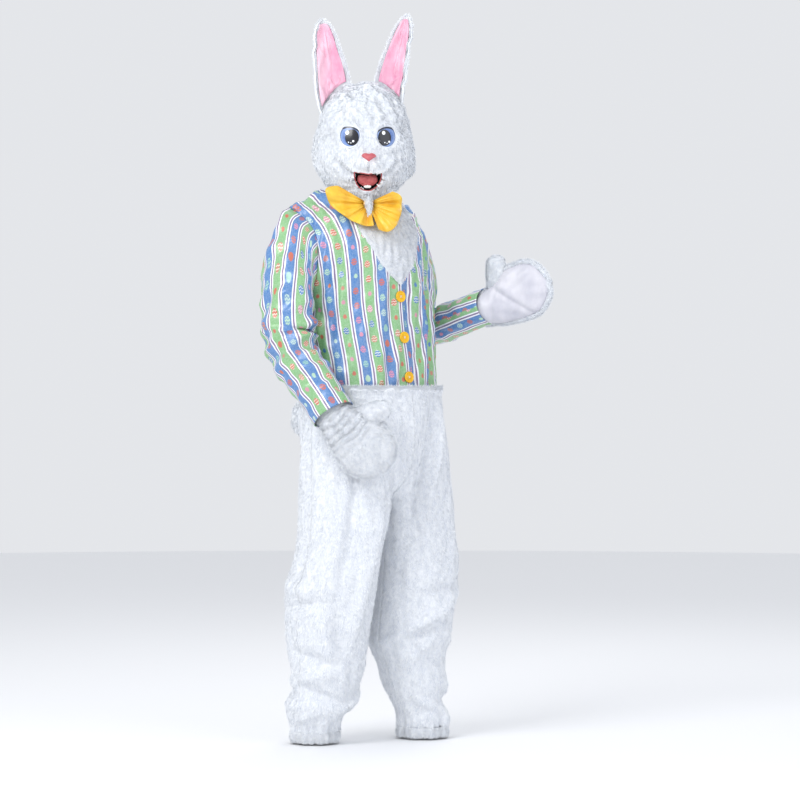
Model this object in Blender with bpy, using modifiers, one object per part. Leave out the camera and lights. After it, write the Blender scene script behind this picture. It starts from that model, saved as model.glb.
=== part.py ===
"""Easter bunny costume, as worn and hollow: a satin jacket sewn to plush trousers, mitts, a bow tie and a mask.

Metres, +Z up. The garment's front faces -Y and the wearer's right side is -X. The origin is the middle
of the neckline, where the wearer's neck and shoulders carry the suit. The arms keep the pose of the
photograph: the right arm hangs with the elbow a little bent, and the left forearm points forward.
"""

import math
from dataclasses import dataclass

import bmesh
import bpy
import numpy as np
from mathutils import Matrix, Vector

# Wall thicknesses and gaps
SEAM_GAP = 0.0003
SATIN = 0.002
PLUSH = 0.006
INSERT_PLUSH = 0.002
MITT_PLUSH = 0.005
BOW_SATIN = 0.0016
EAR_LINING = 0.0014
MASK_SHELL = 0.007
RIM_KEY = np.array([0.31, 0.17, 0.93])

# The torso. The waist is level; the shoulder line falls from the neck to the sleeve head.
WAIST_Z = -0.486
TROUSER_TOP_Z = -0.474
CROTCH_Z = -0.76
CROTCH_START_Z = -0.56
LEG_SPLIT_TOP_Z = -0.50
LEG_SPLIT_END_Z = -0.80
LEG_END_Z = -1.346
HEM_Z = -1.369
CHEST_TWIST = math.radians(-7)
TWIST_TOP_Z = -0.25
SIDE_SEAM_DEG = 95
NECK_TOP_SHARE = 0.70

# share of the way up, half width, depth in front, depth behind, centre y
TORSO = np.array([
    (0.00, 0.190, 0.139, 0.139, -0.027),
    (0.15, 0.187, 0.143, 0.139, -0.020),
    (0.30, 0.185, 0.146, 0.135, -0.012),
    (0.42, 0.186, 0.151, 0.130, -0.003),
    (0.52, 0.187, 0.155, 0.125, 0.005),
    (0.65, 0.187, 0.150, 0.122, 0.008),
    (0.78, 0.186, 0.135, 0.117, 0.014),
    (0.87, 0.187, 0.108, 0.092, 0.026),
    (0.93, 0.190, 0.078, 0.058, 0.038),
    (0.97, 0.194, 0.044, 0.032, 0.045),
    (1.00, 0.197, 0.000, 0.000, 0.050),
])

# distance from the middle, height of the shoulder line there
SHOULDER_LINE = np.array([(0.0, 0.064), (0.045, 0.056), (0.09, 0.040), (0.15, 0.0095), (0.21, -0.022)])

# share of the way up, V edge x, armhole angle in front, armhole angle behind, back neck x
CHEST_ROWS = np.array([
    (0.500, 0.0020, 95.0, 95.0, 0.000),
    (0.540, 0.0240, 78.0, 104.0, 0.000),
    (0.600, 0.0500, 72.0, 108.5, 0.000),
    (0.680, 0.0690, 70.0, 110.0, 0.000),
    (0.760, 0.0880, 68.5, 110.0, 0.000),
    (0.840, 0.0945, 67.5, 108.0, 0.000),
    (0.900, 0.0965, 70.0, 105.0, 0.000),
    (0.940, 0.0970, 73.5, 102.0, 0.050),
    (0.975, 0.0975, 79.0, 97.0, 0.085),
    (1.000, 0.0980, 90.0, 90.0, 0.098),
])
WAIST_ROWS = 6
TORSO_COLUMNS = 7
INSERT_COLUMNS = 8

# Sleeves: the side next to the body, the outer side, and the half width between them
# inner x, inner y, inner z, outer x, outer y, outer z, half width
SLEEVE_RIGHT = np.array([
    (-0.183, 0.039, -0.248, -0.189, 0.074, -0.018, 0.068),
    (-0.195, 0.034, -0.262, -0.226, 0.064, -0.036, 0.071),
    (-0.199, 0.028, -0.272, -0.250, 0.054, -0.080, 0.072),
    (-0.199, 0.020, -0.282, -0.274, 0.040, -0.142, 0.073),
    (-0.195, 0.012, -0.296, -0.299, 0.022, -0.220, 0.074),
    (-0.194, 0.010, -0.318, -0.315, 0.010, -0.292, 0.073),
    (-0.194, 0.008, -0.352, -0.313, 0.004, -0.345, 0.068),
    (-0.195, -0.014, -0.393, -0.311, -0.018, -0.393, 0.063),
    (-0.195, -0.050, -0.434, -0.307, -0.052, -0.434, 0.060),
    (-0.191, -0.088, -0.475, -0.300, -0.089, -0.475, 0.057),
    (-0.184, -0.117, -0.513, -0.291, -0.117, -0.513, 0.056),
    (-0.179, -0.132, -0.535, -0.284, -0.139, -0.545, 0.056),
])
SLEEVE_LEFT = np.array([
    (0.187, -0.007, -0.248, 0.202, 0.026, -0.018, 0.068),
    (0.194, 0.010, -0.262, 0.228, 0.042, -0.036, 0.068),
    (0.197, 0.026, -0.268, 0.250, 0.062, -0.084, 0.068),
    (0.198, 0.038, -0.275, 0.268, 0.080, -0.145, 0.065),
    (0.198, 0.052, -0.281, 0.285, 0.091, -0.210, 0.061),
    (0.198, 0.066, -0.290, 0.297, 0.089, -0.258, 0.056),
    (0.199, 0.056, -0.304, 0.303, 0.062, -0.299, 0.052),
    (0.199, 0.020, -0.312, 0.304, 0.022, -0.312, 0.049),
    (0.199, -0.030, -0.305, 0.302, -0.030, -0.305, 0.048),
    (0.200, -0.085, -0.292, 0.301, -0.085, -0.292, 0.047),
    (0.201, -0.145, -0.276, 0.301, -0.145, -0.276, 0.047),
    (0.203, -0.203, -0.262, 0.301, -0.203, -0.262, 0.048),
])
SLEEVE_RINGS = np.concatenate([np.linspace(0, 0.39, 7), np.linspace(0.43, 0.67, 8), np.linspace(0.73, 1, 5)])
LOOP_FADE = 0.30

# height, half width, depth, centre y of the hips
HIPS = np.array([
    (-0.760, 0.220, 0.152, -0.045),
    (-0.684, 0.220, 0.155, -0.042),
    (-0.600, 0.209, 0.158, -0.033),
    (-0.540, 0.202, 0.158, -0.027),
    (-0.474, 0.201, 0.150, -0.027),
])

# height, right leg x, y, radius, left leg x, y, radius
LEGS = np.array([
    (-1.362, -0.125, 0.052, 0.061, 0.154, -0.051, 0.061),
    (-1.329, -0.125, 0.049, 0.062, 0.157, -0.057, 0.068),
    (-1.306, -0.125, 0.046, 0.072, 0.152, -0.054, 0.066),
    (-1.277, -0.119, 0.038, 0.088, 0.143, -0.048, 0.070),
    (-1.247, -0.115, 0.031, 0.085, 0.140, -0.047, 0.081),
    (-1.188, -0.111, 0.023, 0.0925, 0.127, -0.041, 0.086),
    (-1.111, -0.112, 0.016, 0.104, 0.119, -0.039, 0.107),
    (-1.042, -0.110, 0.008, 0.114, 0.122, -0.047, 0.110),
    (-0.983, -0.107, 0.000, 0.121, 0.125, -0.054, 0.111),
    (-0.899, -0.097, -0.019, 0.117, 0.124, -0.058, 0.110),
    (-0.812, -0.090, -0.033, 0.122, 0.110, -0.053, 0.115),
    (-0.684, -0.090, -0.042, 0.130, 0.090, -0.042, 0.130),
])
LEG_COLUMNS = 8
GATHER_DEPTH = 0.0032
GATHER_START_Z = -1.28
LEG_GIRTH = 0.75
LEG_GAP_SLOPE = 0.14
SEAM_EASE = 0.004

# place round the leg (0 centre front, 0.5 side, 1 centre back), height, half length, half width,
# tilt in degrees from level, height of the fold
RIGHT_LEG_FOLDS = (
    (0.40, -0.96, 0.22, 0.030, 84, 0.012),
    (0.27, -1.02, 0.24, 0.026, 96, 0.011),
    (0.34, -0.72, 0.20, 0.022, 93, -0.010),
    (0.33, -1.10, 0.12, 0.022, 60, -0.011),
    (0.52, -0.975, 0.06, 0.016, 5, 0.010),
    (0.50, -1.020, 0.07, 0.013, -8, -0.009),
    (0.45, -1.150, 0.08, 0.016, 12, -0.009),
    (0.48, -1.205, 0.09, 0.014, -10, 0.008),
    (0.35, -1.250, 0.10, 0.014, 16, -0.010),
    (0.60, -1.240, 0.08, 0.014, 10, -0.009),
    (0.20, -1.270, 0.09, 0.013, -22, 0.009),
    (0.76, -1.180, 0.10, 0.016, 8, -0.008),
    (0.80, -0.900, 0.16, 0.028, 80, -0.010),
    (0.66, -0.640, 0.12, 0.024, 100, -0.008),
)
LEFT_LEG_FOLDS = (
    (0.20, -0.62, 0.14, 0.020, 92, 0.011),
    (0.12, -0.60, 0.13, 0.016, 90, -0.009),
    (0.25, -0.985, 0.09, 0.016, 8, -0.009),
    (0.22, -1.055, 0.12, 0.020, 28, 0.012),
    (0.17, -1.095, 0.12, 0.016, 24, -0.011),
    (0.24, -1.190, 0.12, 0.016, -38, -0.010),
    (0.30, -1.225, 0.10, 0.014, -34, 0.010),
    (0.36, -1.270, 0.08, 0.013, -20, -0.010),
    (0.22, -1.290, 0.09, 0.012, -14, 0.008),
    (0.62, -1.240, 0.10, 0.015, 12, -0.009),
    (0.80, -1.060, 0.12, 0.020, 10, -0.008),
    (0.70, -0.800, 0.18, 0.026, 86, -0.009),
)

# place round the sleeve (0 armpit, 0.25 front, 0.5 outer side), share of its length, half length,
# half width, tilt in degrees from level, height of the fold
RIGHT_SLEEVE_FOLDS = (
    (0.22, 0.470, 0.055, 0.013, 20, 0.013),
    (0.24, 0.535, 0.055, 0.011, -14, -0.011),
    (0.20, 0.590, 0.060, 0.012, 14, 0.011),
    (0.45, 0.520, 0.050, 0.011, -20, 0.008),
    (0.48, 0.580, 0.050, 0.011, 18, -0.007),
    (0.22, 0.680, 0.050, 0.012, -16, -0.008),
    (0.16, 0.750, 0.050, 0.012, 12, 0.008),
    (0.40, 0.800, 0.060, 0.013, -24, -0.006),
    (0.30, 0.220, 0.080, 0.018, 70, -0.007),
    (0.75, 0.520, 0.060, 0.014, 8, -0.007),
    (0.75, 0.640, 0.060, 0.014, -10, 0.007),
)
LEFT_SLEEVE_FOLDS = (
    (0.20, 0.600, 0.060, 0.012, 24, 0.008),
    (0.30, 0.660, 0.060, 0.012, -16, -0.007),
    (0.45, 0.700, 0.060, 0.012, 18, 0.006),
    (0.15, 0.740, 0.060, 0.012, -20, -0.006),
    (0.75, 0.420, 0.060, 0.016, 0, 0.007),
    (0.50, 0.300, 0.080, 0.018, 75, -0.006),
)
SLEEVE_GIRTH = 0.42
SLEEVE_LENGTH = 0.62

# place round the half torso (0 centre front, 1 side seam), share of the way up, half length, half
# width, tilt in degrees from level, height of the fold
TORSO_FOLDS = (
    (0.86, 0.46, 0.070, 0.014, 35, -0.006),
    (0.62, 0.12, 0.080, 0.016, 80, 0.004),
    (0.30, 0.10, 0.070, 0.016, 95, -0.004),
    (0.90, 0.20, 0.070, 0.014, 12, -0.005),
)
TORSO_SPAN = 0.30
TORSO_RISE = 0.48

# Mitts, measured from the wrist along the hand: distance, edge below, edge on the thumb's side
MITT = np.array([
    (-0.026, -0.038, 0.037),
    (0.002, -0.0425, 0.040),
    (0.028, -0.050, 0.052),
    (0.062, -0.054, 0.076),
    (0.100, -0.056, 0.083),
    (0.133, -0.051, 0.082),
    (0.156, -0.036, 0.070),
    (0.172, -0.018, 0.047),
    (0.179, 0.000, 0.026),
])
# distance, half thickness
MITT_DEPTH = np.array([
    (-0.026, 0.036), (0.0, 0.0375), (0.03, 0.0375), (0.06, 0.035), (0.10, 0.031), (0.14, 0.026), (0.166, 0.017),
    (0.179, 0.008),
])
MITT_COLUMNS = 8
MITT_PLEATS = 4
MITT_PLEAT_DEPTH = 0.0035
THUMB_ROOT, THUMB_GAP = 0.043, 0.0012
THUMB_TIP = (0.054, 0.1225)
# share of the thumb's length, half width, half thickness
THUMB = np.array([(0.0, 0.034, 0.0215), (0.45, 0.029, 0.021), (0.75, 0.024, 0.018), (0.93, 0.015, 0.012),
                  (1.0, 0.006, 0.005)])
# wearer's side: wrist, direction of the hand, direction of the thumb
HAND_RIGHT = ((-0.2253, -0.1368, -0.5415), (0.446, -0.353, -0.821), (0.590, -0.571, 0.566))
HAND_LEFT = ((0.252, -0.203, -0.2652), (0.293, -0.920, 0.264), (-0.2135, 0.2062, 0.9556))

# Mask head, in its own frame, which faces -Y before it is turned
HEAD_TURN = math.radians(-37.5)
HEAD_Y = 0.005
MASK_OPENING_Z = 0.002
MASK_CORE_Z = 0.16
MASK_SEAM_Y = 0.030
# height, half width, depth in front, depth behind
MASK = np.array([
    (-0.030, 0.002, 0.002, 0.002),
    (0.002, 0.052, 0.068, 0.058),
    (0.018, 0.066, 0.084, 0.070),
    (0.033, 0.077, 0.092, 0.079),
    (0.050, 0.096, 0.099, 0.090),
    (0.068, 0.112, 0.104, 0.101),
    (0.0845, 0.121, 0.108, 0.109),
    (0.118, 0.1285, 0.112, 0.118),
    (0.151, 0.1255, 0.113, 0.122),
    (0.193, 0.117, 0.110, 0.121),
    (0.228, 0.109, 0.103, 0.114),
    (0.259, 0.094, 0.088, 0.098),
    (0.285, 0.068, 0.065, 0.072),
    (0.302, 0.038, 0.037, 0.041),
    (0.312, 0.001, 0.001, 0.001),
])
MUZZLE = (0.013, 0.046, 0.090, 0.034)

TONGUE_HALF = (0.020, 0.006, 0.0105)
TEETH_SIZE = (0.018, 0.006, 0.008)
EYE_X, EYE_Z, EYE_HALF_WIDTH, EYE_HALF_HEIGHT, EYE_DOME = 0.046, 0.164, 0.024, 0.028, 0.004
NOSE_Z, NOSE_HALF_WIDTH, NOSE_HALF_HEIGHT, NOSE_DOME = 0.110, 0.018, 0.0095, 0.006
MOUTH_TOP_Z, MOUTH_BOTTOM_Z, MOUTH_HALF_WIDTH, MOUTH_DEPTH = 0.072, 0.026, 0.035, 0.030
MOUTH_LINING_WALL, MOUTH_SAG = 0.0016, 0.006
MOUTH_POINTS, LENS_POINTS = 20, 16

# height, centre x, centre y, half width of each ear, measured from the middle of the mask
EAR_RIGHT = np.array([
    (0.205, -0.088, 0.022, 0.014), (0.235, -0.084, 0.021, 0.032), (0.262, -0.081, 0.020, 0.043),
    (0.295, -0.082, 0.018, 0.0465), (0.325, -0.0855, 0.016, 0.0455), (0.360, -0.091, 0.014, 0.042),
    (0.389, -0.097, 0.012, 0.037), (0.420, -0.101, 0.010, 0.031), (0.443, -0.104, 0.010, 0.025),
    (0.459, -0.1055, 0.010, 0.016), (0.470, -0.106, 0.010, 0.005),
])
EAR_LEFT = np.array([
    (0.205, 0.082, 0.020, 0.012), (0.235, 0.077, 0.018, 0.028), (0.262, 0.073, 0.016, 0.037),
    (0.295, 0.073, 0.014, 0.041), (0.325, 0.078, 0.012, 0.0425), (0.360, 0.085, 0.010, 0.039),
    (0.389, 0.091, 0.010, 0.035), (0.425, 0.101, 0.010, 0.030), (0.452, 0.107, 0.010, 0.023),
    (0.473, 0.111, 0.010, 0.014), (0.485, 0.113, 0.010, 0.005),
])
EAR_TURN_RIGHT, EAR_TURN_LEFT = math.radians(4), math.radians(-26)
EAR_CUP = 0.020
CROWN_GAP, CROWN_REACH = 0.0006, 0.005
EAR_COLUMNS, EAR_ROWS = 8, 9
EAR_LINING_SHARE = 0.80
EAR_LINING_START, EAR_LINING_END = 0.10, 0.93
EAR_LINING_GAP = 0.0012

# Bow tie: spread of the fan in degrees from level, and its radius there
BOW_RIGHT = np.array([(-98.0, 0.060), (-75.0, 0.061), (-48.0, 0.064), (-15.0, 0.082), (8.0, 0.107), (19.0, 0.114),
                      (30.0, 0.090)])
BOW_LEFT = np.array([(-74.0, 0.072), (-60.0, 0.086), (-44.0, 0.088), (-24.0, 0.085), (-5.0, 0.085), (14.0, 0.084),
                     (27.0, 0.070)])
BOW_KNOT_Z = -0.008
BOW_REACH = 0.109
BOW_LEAN = 0.78
BOW_HALF_FOLD = 0.010
BOW_PLEATS = 3.5
BOW_COLUMNS, BOW_ROWS = 11, 8
KNOT_HALF = (0.0132, 0.0122, 0.0125)
BOW_ROOT = 0.0135

TAIL_RADIUS, TAIL_Z = 0.058, -0.550
BUTTON_HEIGHTS = (-0.2436, -0.3465, -0.4467)
BUTTON_RADIUS, BUTTON_THICKNESS = 0.0145, 0.004
PLACKET_HALF_WIDTH, PLACKET_WALL, PLACKET_GAP = 0.014, 0.0016, 0.0007
NECK_BAND_RINGS, NECK_BAND_SAG, NECK_BAND_DROP = 3, 0.006, 0.0014

COLOURS = {  # colour, roughness
    "printed satin": ("7FAFC4", 0.42),
    "white plush": ("EEF0F4", 0.95),
    "white satin": ("F3F4F7", 0.35),
    "pink satin": ("F2A9C4", 0.35),
    "yellow satin": ("F4C01F", 0.35),
    "yellow plastic": ("F2B705", 0.30),
    "eye enamel": ("22262E", 0.18),
    "coral nose": ("D9726B", 0.55),
    "black mouth": ("17110F", 0.70),
    "coral tongue": ("D96A62", 0.60),
    "white teeth": ("FAFAF7", 0.40),
}


@dataclass
class Panel:
    """One piece of cloth: a grid of outer points, its wall and how far each point is raised.

    A panel with a side, -1 or 1, keeps to that side of the garment's middle plane.
    """

    name: str
    points: np.ndarray
    wall: float
    cloth: str
    closed: bool = False
    tip: bool = False
    relief: np.ndarray | None = None
    side: int = 0


def smooth_step(share):
    """0 below 0, 1 above 1 and a smooth rise between."""
    share = np.clip(share, 0.0, 1.0)
    return share * share * (3 - 2 * share)


def smooth_curve(knots, values, at):
    """The values at these places on a cubic curve through the knots."""
    knots = np.asarray(knots, float)
    values = np.asarray(values, float)
    at = np.clip(np.asarray(at, float), knots[0], knots[-1])
    slopes = np.gradient(values, knots, axis=0)
    i = np.clip(np.searchsorted(knots, at, side="right") - 1, 0, len(knots) - 2)
    step = knots[i + 1] - knots[i]
    t = (at - knots[i]) / step
    if values.ndim > 1:
        t, step = t[..., None], step[..., None]
    start = (1 + 2 * t) * (1 - t) ** 2 * values[i] + t * (1 - t) ** 2 * step * slopes[i]
    end = t * t * (3 - 2 * t) * values[i + 1] - t * t * (1 - t) * step * slopes[i + 1]
    return start + end


def unit(vectors):
    """The vectors at length 1, and zero where they have no length."""
    length = np.linalg.norm(vectors, axis=-1, keepdims=True)
    return vectors / np.maximum(length, 1e-12)


def turned(points, angle):
    """Points turned about the upright axis through the origin, by one angle or one for each point."""
    x, y = points[..., 0], points[..., 1]
    return np.stack([x * np.cos(angle) - y * np.sin(angle), x * np.sin(angle) + y * np.cos(angle),
                     points[..., 2]], axis=-1)


def quad_corners(grid, closed):
    """The four corners of each quad of a grid, with its columns joined round if it is closed."""
    after = np.roll(grid, -1, axis=1) if closed else grid[:, 1:]
    here = grid if closed else grid[:, :-1]
    return here[:-1], after[:-1], after[1:], here[1:]


def facing_out(panel, centre):
    """The panel with its columns turned round if its outer side would face this centre."""
    a, b, c, d = quad_corners(panel.points, panel.closed)
    outward = np.sum(np.cross(c - a, d - b) * ((a + c) / 2 - centre))
    if outward < 0:
        panel.points = panel.points[:, ::-1].copy()
        if panel.relief is not None:
            panel.relief = panel.relief[:, ::-1].copy()
    return panel


def shared_normals(panels):
    """Unit normals at each point, averaged where panels share a point, so that a seam turns as one."""
    points = np.concatenate([panel.points.reshape(-1, 3) for panel in panels])
    places = np.round(points * 1e6).astype(np.int64)
    _, owner = np.unique(places, axis=0, return_inverse=True)
    owner = owner.reshape(-1)
    total = np.zeros((owner.max() + 1, 3))
    start = 0
    for panel in panels:
        rows, columns = panel.points.shape[:2]
        index = owner[start:start + rows * columns].reshape(rows, columns)
        a, b, c, d = quad_corners(panel.points, panel.closed)
        area = np.cross(c - a, d - b).reshape(-1, 3)
        for corner in quad_corners(index, panel.closed):
            np.add.at(total, corner.reshape(-1), area)
        start += rows * columns
    normals = unit(total)[owner]
    found = []
    start = 0
    for panel in panels:
        size = panel.points.shape[0] * panel.points.shape[1]
        found.append(normals[start:start + size].reshape(panel.points.shape))
        start += size
    return found


def drawn_back(edge, next_row, closed):
    """How an edge moves to leave half a seam's gap: along the cloth and square to the edge."""
    if closed:
        along = np.roll(edge, -1, axis=0) - np.roll(edge, 1, axis=0)
    else:
        along = np.gradient(edge, axis=0)
    along = unit(along)
    back = next_row - edge
    back = back - np.sum(back * along, axis=-1, keepdims=True) * along
    return unit(back) * SEAM_GAP / 2


def parted(grid, closed):
    """The grid with each edge drawn back by half a seam's gap."""
    out = grid.copy()
    out[0] += drawn_back(grid[0], grid[1], closed)
    out[-1] += drawn_back(grid[-1], grid[-2], closed)
    if not closed:
        out[:, 0] += drawn_back(grid[:, 0], grid[:, 1], False)
        out[:, -1] += drawn_back(grid[:, -1], grid[:, -2], False)
    return out


def rim_faces(first, second, below, points):
    """Triangles from an edge's points to the points under them, cut the same way on both sides of a seam."""
    key = points @ RIM_KEY
    faces = []
    for p, q, p_under, q_under in zip(first, second, first + below, second + below):
        if key[p] < key[q]:
            faces += [(p, q, q_under), (p, q_under, p_under)]
        else:
            faces += [(p, q, p_under), (q, q_under, p_under)]
    return faces


def wall_mesh(name, outer, inner, closed, tip):
    """A closed mesh between two grids, open at its hems, or shut at the last row for a tip."""
    rows, columns = outer.shape[:2]
    points = np.concatenate([outer.reshape(-1, 3), inner.reshape(-1, 3)])
    below = rows * columns
    index = np.arange(below).reshape(rows, columns)
    a, b, c, d = quad_corners(index, closed)
    quads = np.stack([a, b, c, d], axis=-1).reshape(-1, 4)
    faces = [tuple(quad) for quad in quads] + [tuple(quad) for quad in quads[:, ::-1] + below]
    faces += rim_faces(b[0], a[0], below, points)
    if tip:
        faces += [tuple(index[-1]), tuple(index[-1][::-1] + below)]
    else:
        faces += rim_faces(d[-1], c[-1], below, points)
    if not closed:
        faces += rim_faces(a[:, 0], d[:, 0], below, points)
        faces += rim_faces(c[:, -1], b[:, -1], below, points)
    mesh = bpy.data.meshes.new(name)
    mesh.from_pydata(points.tolist(), [], [tuple(map(int, face)) for face in faces])
    return mesh


def linear(byte):
    """A colour's byte as a linear number."""
    share = byte / 255
    return share / 12.92 if share <= 0.04045 else ((share + 0.055) / 1.055) ** 2.4


def material(name):
    """The Principled material of this name, made once."""
    found = bpy.data.materials.get(name)
    if found:
        return found
    colour, roughness = COLOURS[name]
    made = bpy.data.materials.new(name)
    made.use_nodes = True
    shader = made.node_tree.nodes["Principled BSDF"]
    shader.inputs["Base Color"].default_value = (*(linear(value) for value in bytes.fromhex(colour)), 1)
    shader.inputs["Roughness"].default_value = roughness
    return made


def new_collection(name, hidden=False):
    """A collection in the scene, out of the render if it holds helpers."""
    made = bpy.data.collections.new(name)
    bpy.context.scene.collection.children.link(made)
    made.hide_render = hidden
    return made


def placed(name, mesh, finish, collection):
    """An object with this mesh and material."""
    made = bpy.data.objects.new(name, mesh)
    if finish:
        mesh.materials.append(material(finish))
    collection.objects.link(made)
    return made


def sewn(panels, collection):
    """Raises each panel's folds and makes the walls, with shared points and normals along the seams."""
    for panel, normals in zip(panels, shared_normals(panels)):
        if panel.relief is not None:
            panel.points = panel.points + panel.relief[..., None] * normals
    made = []
    for panel, normals in zip(panels, shared_normals(panels)):
        inner = panel.points - panel.wall * normals
        outer = parted(panel.points, panel.closed)
        inner = parted(inner, panel.closed)
        if panel.side:
            for points in (outer, inner):
                points[..., 0] = panel.side * np.maximum(panel.side * points[..., 0], SEAM_GAP / 2)
        mesh = wall_mesh(panel.name, outer, inner, panel.closed, panel.tip)
        made.append(placed(panel.name, mesh, panel.cloth, collection))
    return made


def folds_at(folds, around, along, girth, length):
    """The height of all folds: each is a soft ridge, or a trough, along a slanted line."""
    height = np.zeros(np.broadcast(around, along).shape)
    for place, level, half_length, half_width, tilt, rise in folds:
        side = (around - place) * girth
        up = (along - level) * length
        slope = math.radians(tilt)
        run = side * math.cos(slope) + up * math.sin(slope)
        across = up * math.cos(slope) - side * math.sin(slope)
        height = height + rise * np.exp(-(run / half_length) ** 2 - (across / half_width) ** 2)
    return height


def torso_point(share, angle):
    """A point of the torso's outer form at this share of the way up and this angle from the front."""
    half_width, front, back, centre = np.moveaxis(smooth_curve(TORSO[:, 0], TORSO[:, 1:], share), -1, 0)
    x = half_width * np.sin(angle)
    depth = np.where(np.cos(angle) >= 0, front, back)
    y = centre - depth * np.cos(angle)
    shoulder = smooth_curve(SHOULDER_LINE[:, 0], SHOULDER_LINE[:, 1], np.abs(x))
    z = WAIST_Z + share * (shoulder - WAIST_Z)
    points = np.stack([x, y, z], axis=-1)
    twist = CHEST_TWIST * smooth_step((z - WAIST_Z) / (TWIST_TOP_Z - WAIST_Z))
    return turned(points, twist)


def edge_angle(share, x):
    """The angle at which the torso has this x, at this share of the way up."""
    return np.arcsin(x / smooth_curve(TORSO[:, 0], TORSO[:, 1], share))


def torso_shares():
    """The rows of a jacket panel, from the waist to the shoulder line."""
    return np.concatenate([np.linspace(0, CHEST_ROWS[0, 0], WAIST_ROWS + 1)[:-1], CHEST_ROWS[:, 0]])


def jacket_edges():
    """For each row, the angles of a front panel's and a back panel's two edges."""
    shares = torso_shares()
    chest = CHEST_ROWS
    side = math.radians(SIDE_SEAM_DEG)
    low = np.zeros(WAIST_ROWS)
    front_inner = np.concatenate([low, edge_angle(chest[:, 0], chest[:, 1])])
    front_outer = np.concatenate([low + side, np.radians(chest[:, 2])])
    back_inner = math.pi - np.concatenate([low, edge_angle(chest[:, 0], chest[:, 4])])
    back_outer = np.concatenate([low + side, np.radians(chest[:, 3])])
    return shares, (front_inner, front_outer), (back_inner, back_outer)


def jacket_panel(name, inner, outer, side):
    """A front or back panel on one side of the body, from its inner edge to its side seam."""
    shares = torso_shares()
    across = np.linspace(0, 1, TORSO_COLUMNS + 1)
    angle = inner[:, None] + (outer - inner)[:, None] * across
    share = np.broadcast_to(shares[:, None], angle.shape)
    window = np.sin(np.pi * across) ** 0.5 * smooth_step((1 - share) / 0.1)
    relief = window * folds_at(TORSO_FOLDS, across[None, :], share, TORSO_SPAN, TORSO_RISE)
    panel = Panel(name, torso_point(share, side * angle), SATIN, "printed satin", relief=relief)
    return facing_out(panel, np.array([0, 0, 0]) + panel.points.mean(axis=(0, 1)) * (0, 0, 1))


def armhole_loop(side):
    """The armhole's points, from the armpit up the front edge and down the back edge."""
    rows = CHEST_ROWS
    front = torso_point(rows[:, 0], side * np.radians(rows[:, 2]))
    back = torso_point(rows[:, 0], side * np.radians(rows[:, 3]))
    return np.concatenate([front, back[-2:0:-1]])


def sleeve_grid(stations, side):
    """Rings from the armhole to the cuff, between an inner and an outer rail."""
    at = SLEEVE_RINGS * (len(stations) - 1)
    rails = smooth_curve(np.arange(len(stations)), stations, at)
    inner, outer, half_width = rails[:, :3], rails[:, 3:6], rails[:, 6]
    centre = (inner + outer) / 2
    along = unit(np.gradient(centre, axis=0))
    across = (inner - outer) / 2
    front = -side * unit(np.cross(along, across))
    loop = armhole_loop(side)
    angle = np.linspace(0, 2 * math.pi, len(loop), endpoint=False)[None, :, None]
    rings = (centre[:, None] + np.cos(angle) * across[:, None]
             + np.sin(angle) * (half_width[:, None] * front)[:, None])
    fade = 1 - smooth_step(SLEEVE_RINGS / LOOP_FADE)
    return rings + fade[:, None, None] * (loop - rings[0])


def sleeve(name, stations, folds, side):
    """One sleeve, a single cut piece joined under the arm."""
    points = sleeve_grid(stations, side)
    columns = points.shape[1]
    around = np.arange(columns)[None, :] / columns
    along = SLEEVE_RINGS[:, None]
    relief = folds_at(folds, around, along, SLEEVE_GIRTH, SLEEVE_LENGTH)
    relief = relief * smooth_step(along / 0.12) * smooth_step((1 - along) / 0.08)
    panel = Panel(name, points, SATIN, "printed satin", closed=True, relief=relief)
    return facing_out(panel, points.mean(axis=1, keepdims=True)[:-1])


def insert_points():
    """The plush between the V edges, up to the front of the neckline."""
    rows = CHEST_ROWS
    across = np.linspace(-1, 1, INSERT_COLUMNS + 1)
    edge = edge_angle(rows[:, 0], rows[:, 1])
    base = rows[0, 0]
    drop = 1 - (1 - NECK_TOP_SHARE) * (1 - across ** 2)
    share = base + (rows[:, 0, None] - base) * drop
    x = smooth_curve(TORSO[:, 0], TORSO[:, 1], rows[:, 0])[:, None] * np.sin(edge[:, None] * across)
    return torso_point(share, edge_angle(share, x))


def jacket(collection):
    """The jacket top, its sleeves and the plush in the V, sewn as one surface."""
    _, front, back = jacket_edges()
    panels = []
    for side, word in ((-1, "right"), (1, "left")):
        panels.append(jacket_panel(f"jacket_front_{word}", *front, side))
        panels.append(jacket_panel(f"jacket_back_{word}", *back, side))
    panels.append(sleeve("sleeve_right", SLEEVE_RIGHT, RIGHT_SLEEVE_FOLDS, -1))
    panels.append(sleeve("sleeve_left", SLEEVE_LEFT, LEFT_SLEEVE_FOLDS, 1))
    insert = Panel("chest_insert", insert_points(), INSERT_PLUSH, "white plush")
    panels.append(facing_out(insert, np.array([0, 0, 0.0])))
    panels.append(neck_band())
    sewn(panels, collection)


def neck_loop():
    """The neckline, from the wearer's left round the front to the right and back over the nape."""
    front = insert_points()[-1][::-1]
    rows = CHEST_ROWS[CHEST_ROWS[:, 4] > 0]
    nape = math.pi - edge_angle(rows[:, 0], rows[:, 4])
    right = torso_point(rows[:, 0], -nape)
    left = torso_point(rows[:, 0], nape)
    last = CHEST_ROWS[len(CHEST_ROWS) - len(rows) - 1, 0]
    middle = torso_point(np.array([last]), np.array([math.pi]))
    return np.concatenate([front, right[-2::-1], middle, left[:-1]])


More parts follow.
